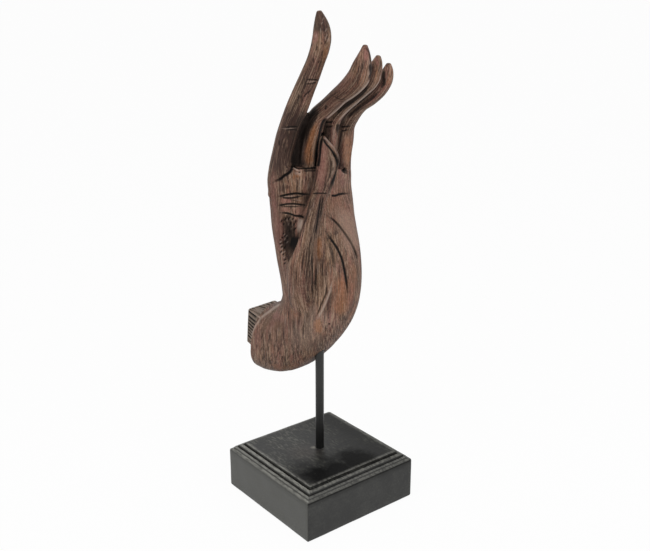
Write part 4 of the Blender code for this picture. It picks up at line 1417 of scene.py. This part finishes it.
# Rasp cuts along the tenon, and shallow chisel facets along the grain of the rest
TENON_CUT_MM = 3.7
TENON_CUT_DEPTH_MM = 1.0
TENON_CUT_HALF = 0.36
TENON_CUTS_WANDER_MM = 2.0
WANDER_SPACING_MM = (9, 12, 9)
BREAK_SPACING_MM = (5, 9, 5)
BREAKS = (-0.75, 0.25)
TOP_CUTS_WIDER = 0.75
TOP_CUTS_DEPTH = 0.75
TOP_WEAR, SIDE_WEAR = 0.65, 0.3
TENON_WASH = (0.15, 0.7)
SAME_WAY = 0.6
TENON_FOOT_MM = 0.3
FACET_MM = (5.5, 5.5, 34.0)
GRAIN_DEPTH = 0.35
FACET_DEPTH_MM = 0.28
RIPPLE_MM = (2.2, 2.2, 15.0)
TENON_RIPPLE_DEPTH_MM = 0.1
RIPPLE_DEPTH_MM = 0.06
TENON_MARGIN_MM = 0.6
to_hand = np.array(placed.inverted())
own_points = hand_points @ to_hand[:3, :3].T + to_hand[:3, 3]
own_normals = hand_normals @ to_hand[:3, :3].T
to_wrist = np.array(wrist_frame.inverted())
tenon_points = (own_points @ to_wrist[:3, :3].T + to_wrist[:3, 3]) / MM
tenon_normals = own_normals @ to_wrist[:3, :3].T
half_x, half_z = tenon_width / 2 + TENON_MARGIN_MM, tenon_height / 2 + TENON_MARGIN_MM
on_tenon = (
    (tenon_points[:, 1] > TENON_FOOT_MM)
    & (np.abs(tenon_points[:, 0] - tenon_x) < half_x)
    & (np.abs(tenon_points[:, 2] - tenon_z) < half_z)
)
wander = lattice_noise(tenon_points / WANDER_SPACING_MM, seed=3) * TENON_CUTS_WANDER_MM
on_side = np.abs(tenon_normals[:, 0]) > SAME_WAY
crosswise = np.where(on_side, tenon_points[:, 2], tenon_points[:, 0] * TOP_CUTS_WIDER)
phase = (crosswise + wander) / TENON_CUT_MM
tenon_groove = np.clip(1 - np.abs(phase - np.round(phase)) / TENON_CUT_HALF, 0, 1)
broken = lattice_noise(tenon_points / BREAK_SPACING_MM, seed=5)
tenon_groove *= smooth_step(broken, *BREAKS)
on_top = tenon_normals[:, 2] > SAME_WAY
tenon_groove *= np.where(on_top, TOP_CUTS_DEPTH, 1)
tenon_groove *= on_tenon * (np.abs(tenon_normals[:, 1]) < SAME_WAY)
grain = grain_places(own_points)
turn = HAND_TURN - CAMERA_AZIMUTH
grain = np.stack(
    (
        grain[:, 0] * math.cos(turn) - grain[:, 1] * math.sin(turn),
        (grain[:, 0] * math.sin(turn) + grain[:, 1] * math.cos(turn)) * GRAIN_DEPTH,
        grain[:, 2],
    ),
    axis=1,
)
facets = lattice_noise(grain / MM / FACET_MM, seed=11)
ripples = lattice_noise(grain / MM / RIPPLE_MM, seed=12)
sink += np.where(on_tenon, TENON_CUT_DEPTH_MM * tenon_groove, FACET_DEPTH_MM * facets)
sink += np.where(on_tenon, TENON_RIPPLE_DEPTH_MM, RIPPLE_DEPTH_MM) * ripples
wash_and_shade = np.maximum(wash_and_shade, smooth_step(tenon_groove, *TENON_WASH))
worn_tenon = np.where(on_top, TOP_WEAR, SIDE_WEAR) * on_tenon
worn_tenon = worn_tenon * smooth_step(-tenon_groove, -0.1, 0)
wear_and_highlight = np.maximum(wear_and_highlight, worn_tenon)
moved = hand_points - hand_normals * sink[:, None] * MM
hand.data.attributes["position"].data.foreach_set("vector", moved.astype(np.float32).ravel())
marks = {
    "stain_and_shade": stain_and_shade,
    "calm": calm,
    "wash_and_shade": wash_and_shade,
    "wear_and_highlight": wear_and_highlight,
    "warm": warm,
    "pink": pink,
    "sideways": sideways,
    "rasped": on_tenon.astype(float),
}
for name, values in marks.items():
    hand.data.attributes.new(name, "FLOAT", "POINT").data.foreach_set(
        "value", values.astype(np.float32)
    )
hand.data.attributes.new("grain", "FLOAT_VECTOR", "POINT").data.foreach_set(
    "vector", grain.astype(np.float32).ravel()
)
triangles = sum(len(face.vertices) - 2 for face in hand.data.polygons)
thin = hand.modifiers.new("fewer triangles", "DECIMATE")
thin.ratio = min(1, MOST_TRIANGLES / triangles)
settle(hand)

SOCKET_MOUTH = 50 * MM
INSERT_FLANGE = 1.8 * MM
INSERT_SOCKET_RADIUS = 5.8 * MM
mouth = rod_shoulder - SOCKET_MOUTH
flange_low, flange_high = insert_low.z - CLEARANCE, insert_low.z + INSERT_FLANGE
socket_high = rod_high.z + 2 * CLEARANCE
socket_rows = (
    (0, mouth),
    (rod_radius + CLEARANCE, mouth),
    (rod_radius + CLEARANCE, flange_low),
    (insert_high.x + CLEARANCE, flange_low),
    (insert_high.x + CLEARANCE, flange_high),
    (INSERT_SOCKET_RADIUS, flange_high),
    (INSERT_SOCKET_RADIUS, socket_high),
    (0, socket_high),
)
cut(hand, turned("heel_socket", socket_rows, sides=48))
hand.data.shade_smooth()

# Cast resin stained like old wood: warm browns that drift to pink and olive, under dark
# and light grain lines about 1.5 mm apart (coarser than wood's, so that they show), black
# wash settled in the cuts, pale dry brushing on the edges, half matt. Painted shade darkens
# the recesses, the gaps and the outline, and painted highlights lie on a few edges
GRAIN_LINE = 0.8 * MM
GRAIN_LENGTH = 26 * MM
LIGHT_LINE = 0.9 * MM
LIGHT_LENGTH = 22 * MM
GRIT = 0.9 * MM
STREAK_WIDTH = 6 * MM
STREAK_LENGTH = 70 * MM
DRIFT_WIDTH = 9 * MM
DRIFT_LENGTH = 45 * MM
MOTTLE = 26 * MM
SHADE_REACH = 13 * MM
FROM_FRONT = (1, 0.4)
FROM_SIDE = (0.14, 2.8)
resin_look, tree, shader = new_material("stained_cast_resin")
grain_vector = add("Attribute", attribute_name="grain").outputs["Vector"]
mark = {name: add("Attribute", attribute_name=name).outputs["Fac"] for name in marks}


def along_grain(width, length, detail, **settings):
    """Noise drawn out along the grain: so wide, so long, in metres. It also runs deep into
    the hand, from the front or, where the skin faces sideways, from the side."""
    views = []
    for front, side in (FROM_FRONT, FROM_SIDE):
        drawn = add("Mapping", grain_vector, Scale=(front / width, side / width, 1 / length))
        views.append(add("TexNoise", drawn, 1, detail, **settings))
    return add("Mix", mark["sideways"], *views)


place = add("TexCoord").outputs["Object"]
mottle = add("TexNoise", place, 1 / MOTTLE, 3, 0.55)
grit = cloud(GRIT, 2, 0.6, (1, 1, 3))
lines = along_grain(GRAIN_LINE, GRAIN_LENGTH, 4, Distortion=0.2, Roughness=0.6)
lights = along_grain(LIGHT_LINE, LIGHT_LENGTH, 3, Distortion=0.3)
streaks = along_grain(STREAK_WIDTH, STREAK_LENGTH, 3)
drift = along_grain(DRIFT_WIDTH, DRIFT_LENGTH, 2)
uncovered = add("Math", 1, mark["calm"], operation="SUBTRACT")
streaked, lined, lit = (
    add("Math", add("MapRange", *limits), uncovered, operation="MULTIPLY")
    for limits in (
        (streaks, 0.48, 0.6, 0, 0.5),
        (lines, 0.48, 0.56, 0, 0.8),
        (lights, 0.53, 0.6, 0, 0.55),
    )
)
thin_stain = add("MapRange", lights, 0.5, 0.6, 1, 0.72)
shade = add("AmbientOcclusion", Distance=SHADE_REACH, samples=8).outputs["AO"]
stained = coats(
    "#885d50",
    (
        (add("MapRange", drift, 0.38, 0.62), "#795c47"),
        (add("MapRange", mottle, 0.52, 0.75, 0, 0.45), "#905f40"),
        (mark["warm"], "#96603a"),
        (mark["pink"], "#8d6056"),
        (streaked, "#4a3429"),
        (lined, "#2e201a"),
        (lit, "#b3967f"),
        (add("MapRange", grit, 0.48, 0.34, 0, 0.5), "#2e1f18"),
        (add("MapRange", grit, 0.54, 0.68, 0, 0.35), "#b3967f"),
        (add("Math", mark["stain_and_shade"], thin_stain, operation="MULTIPLY"), "#2b1811"),
        (add("Math", mark["rasped"], 0.6, operation="MULTIPLY"), "#72695c"),
        (add("Math", mark["wear_and_highlight"], 0.8, operation="MULTIPLY"), "#baa597"),
        (mark["wash_and_shade"], "#1c1a19"),
        (add("MapRange", shade, 0.3, 0.85, 1, 0), "#1b1715"),
    ),
)
bright_relief = add("Math", lights, 0.6, operation="MULTIPLY")
relief = add("Math", bright_relief, lines, operation="SUBTRACT")
surface(
    {
        "Base Color": stained,
        "Roughness": add("MapRange", lines, 0.35, 0.65, 0.5, 0.66),
        "Specular IOR Level": add("MapRange", mark["wash_and_shade"], 0.2, 0.9, 0.24, 0.05),
        "Normal": add("Bump", Height=relief, Distance=1.4 * MM, Strength=0.9),
    }
)
hand.data.materials.clear()
hand.data.materials.append(resin_look)
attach(hand, "root")
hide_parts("hand")

# Floor: a plain pale studio floor, with soft lamps round it. It shows as white to the eye
# and in reflections, and keeps a faint shadow where the sculpture stands.
FLOOR_SIZE = 40
WHITE_SHARE = 0.96
HORIZON = 0.12
SKY_LIGHT = 0.42


def seen_white():
    """1 where the eye, a reflection or clear glass meets the floor or the sky, otherwise 0."""
    path = add("LightPath").outputs
    seen = add("Math", path["Is Camera Ray"], path["Is Glossy Ray"], operation="MAXIMUM")
    return add("Math", seen, path["Is Transmission Ray"], operation="MAXIMUM")


bpy.ops.mesh.primitive_plane_add(size=FLOOR_SIZE)
floor = bpy.context.object
floor.name = "floor"
floor_look, tree, shader = new_material("white_paper_floor")
surface({"Base Color": "#f2f2f2", "Roughness": 0.9, "Specular IOR Level": 0.1})
white = add("Emission", Strength=1)
share = add("Math", seen_white(), WHITE_SHARE, operation="MULTIPLY")
fill(tree.nodes["Material Output"].inputs["Surface"], add("MixShader", share, shader, white))
floor.data.materials.append(floor_look)

world = bpy.data.worlds.new("studio")
world.use_nodes = True
bpy.context.scene.world = world
tree = world.node_tree
height = add("SeparateXYZ", add("TexCoord").outputs["Generated"]).outputs["Z"]
sky = add("MapRange", height, 0, HORIZON, 1, SKY_LIGHT)
backdrop = tree.nodes["Background"].inputs
fill(backdrop["Color"], "#ffffff")
fill(backdrop["Strength"], add("Math", sky, seen_white(), operation="MAXIMUM"))

LAMP_TARGET = Vector((0, 0, 0.25))


def lamp(name, azimuth, elevation, distance, size, share):
    """A square soft lamp: share is the part of full daylight it gives at the target."""
    light = bpy.data.lights.new(name, "AREA")
    light.size = size
    light.energy = share * math.pi**2 * distance**2
    back = outward(math.radians(azimuth), math.radians(elevation))
    obj = put(name, light)
    obj.location = LAMP_TARGET + back * distance
    obj.rotation_euler = back.to_track_quat("Z", "Y").to_euler()


lamp("key", -78, 38, 1.5, 0.9, 0.36)
lamp("fill", 5, 28, 1.8, 1.2, 0.42)

bpy.context.scene.view_settings.view_transform = "Standard"
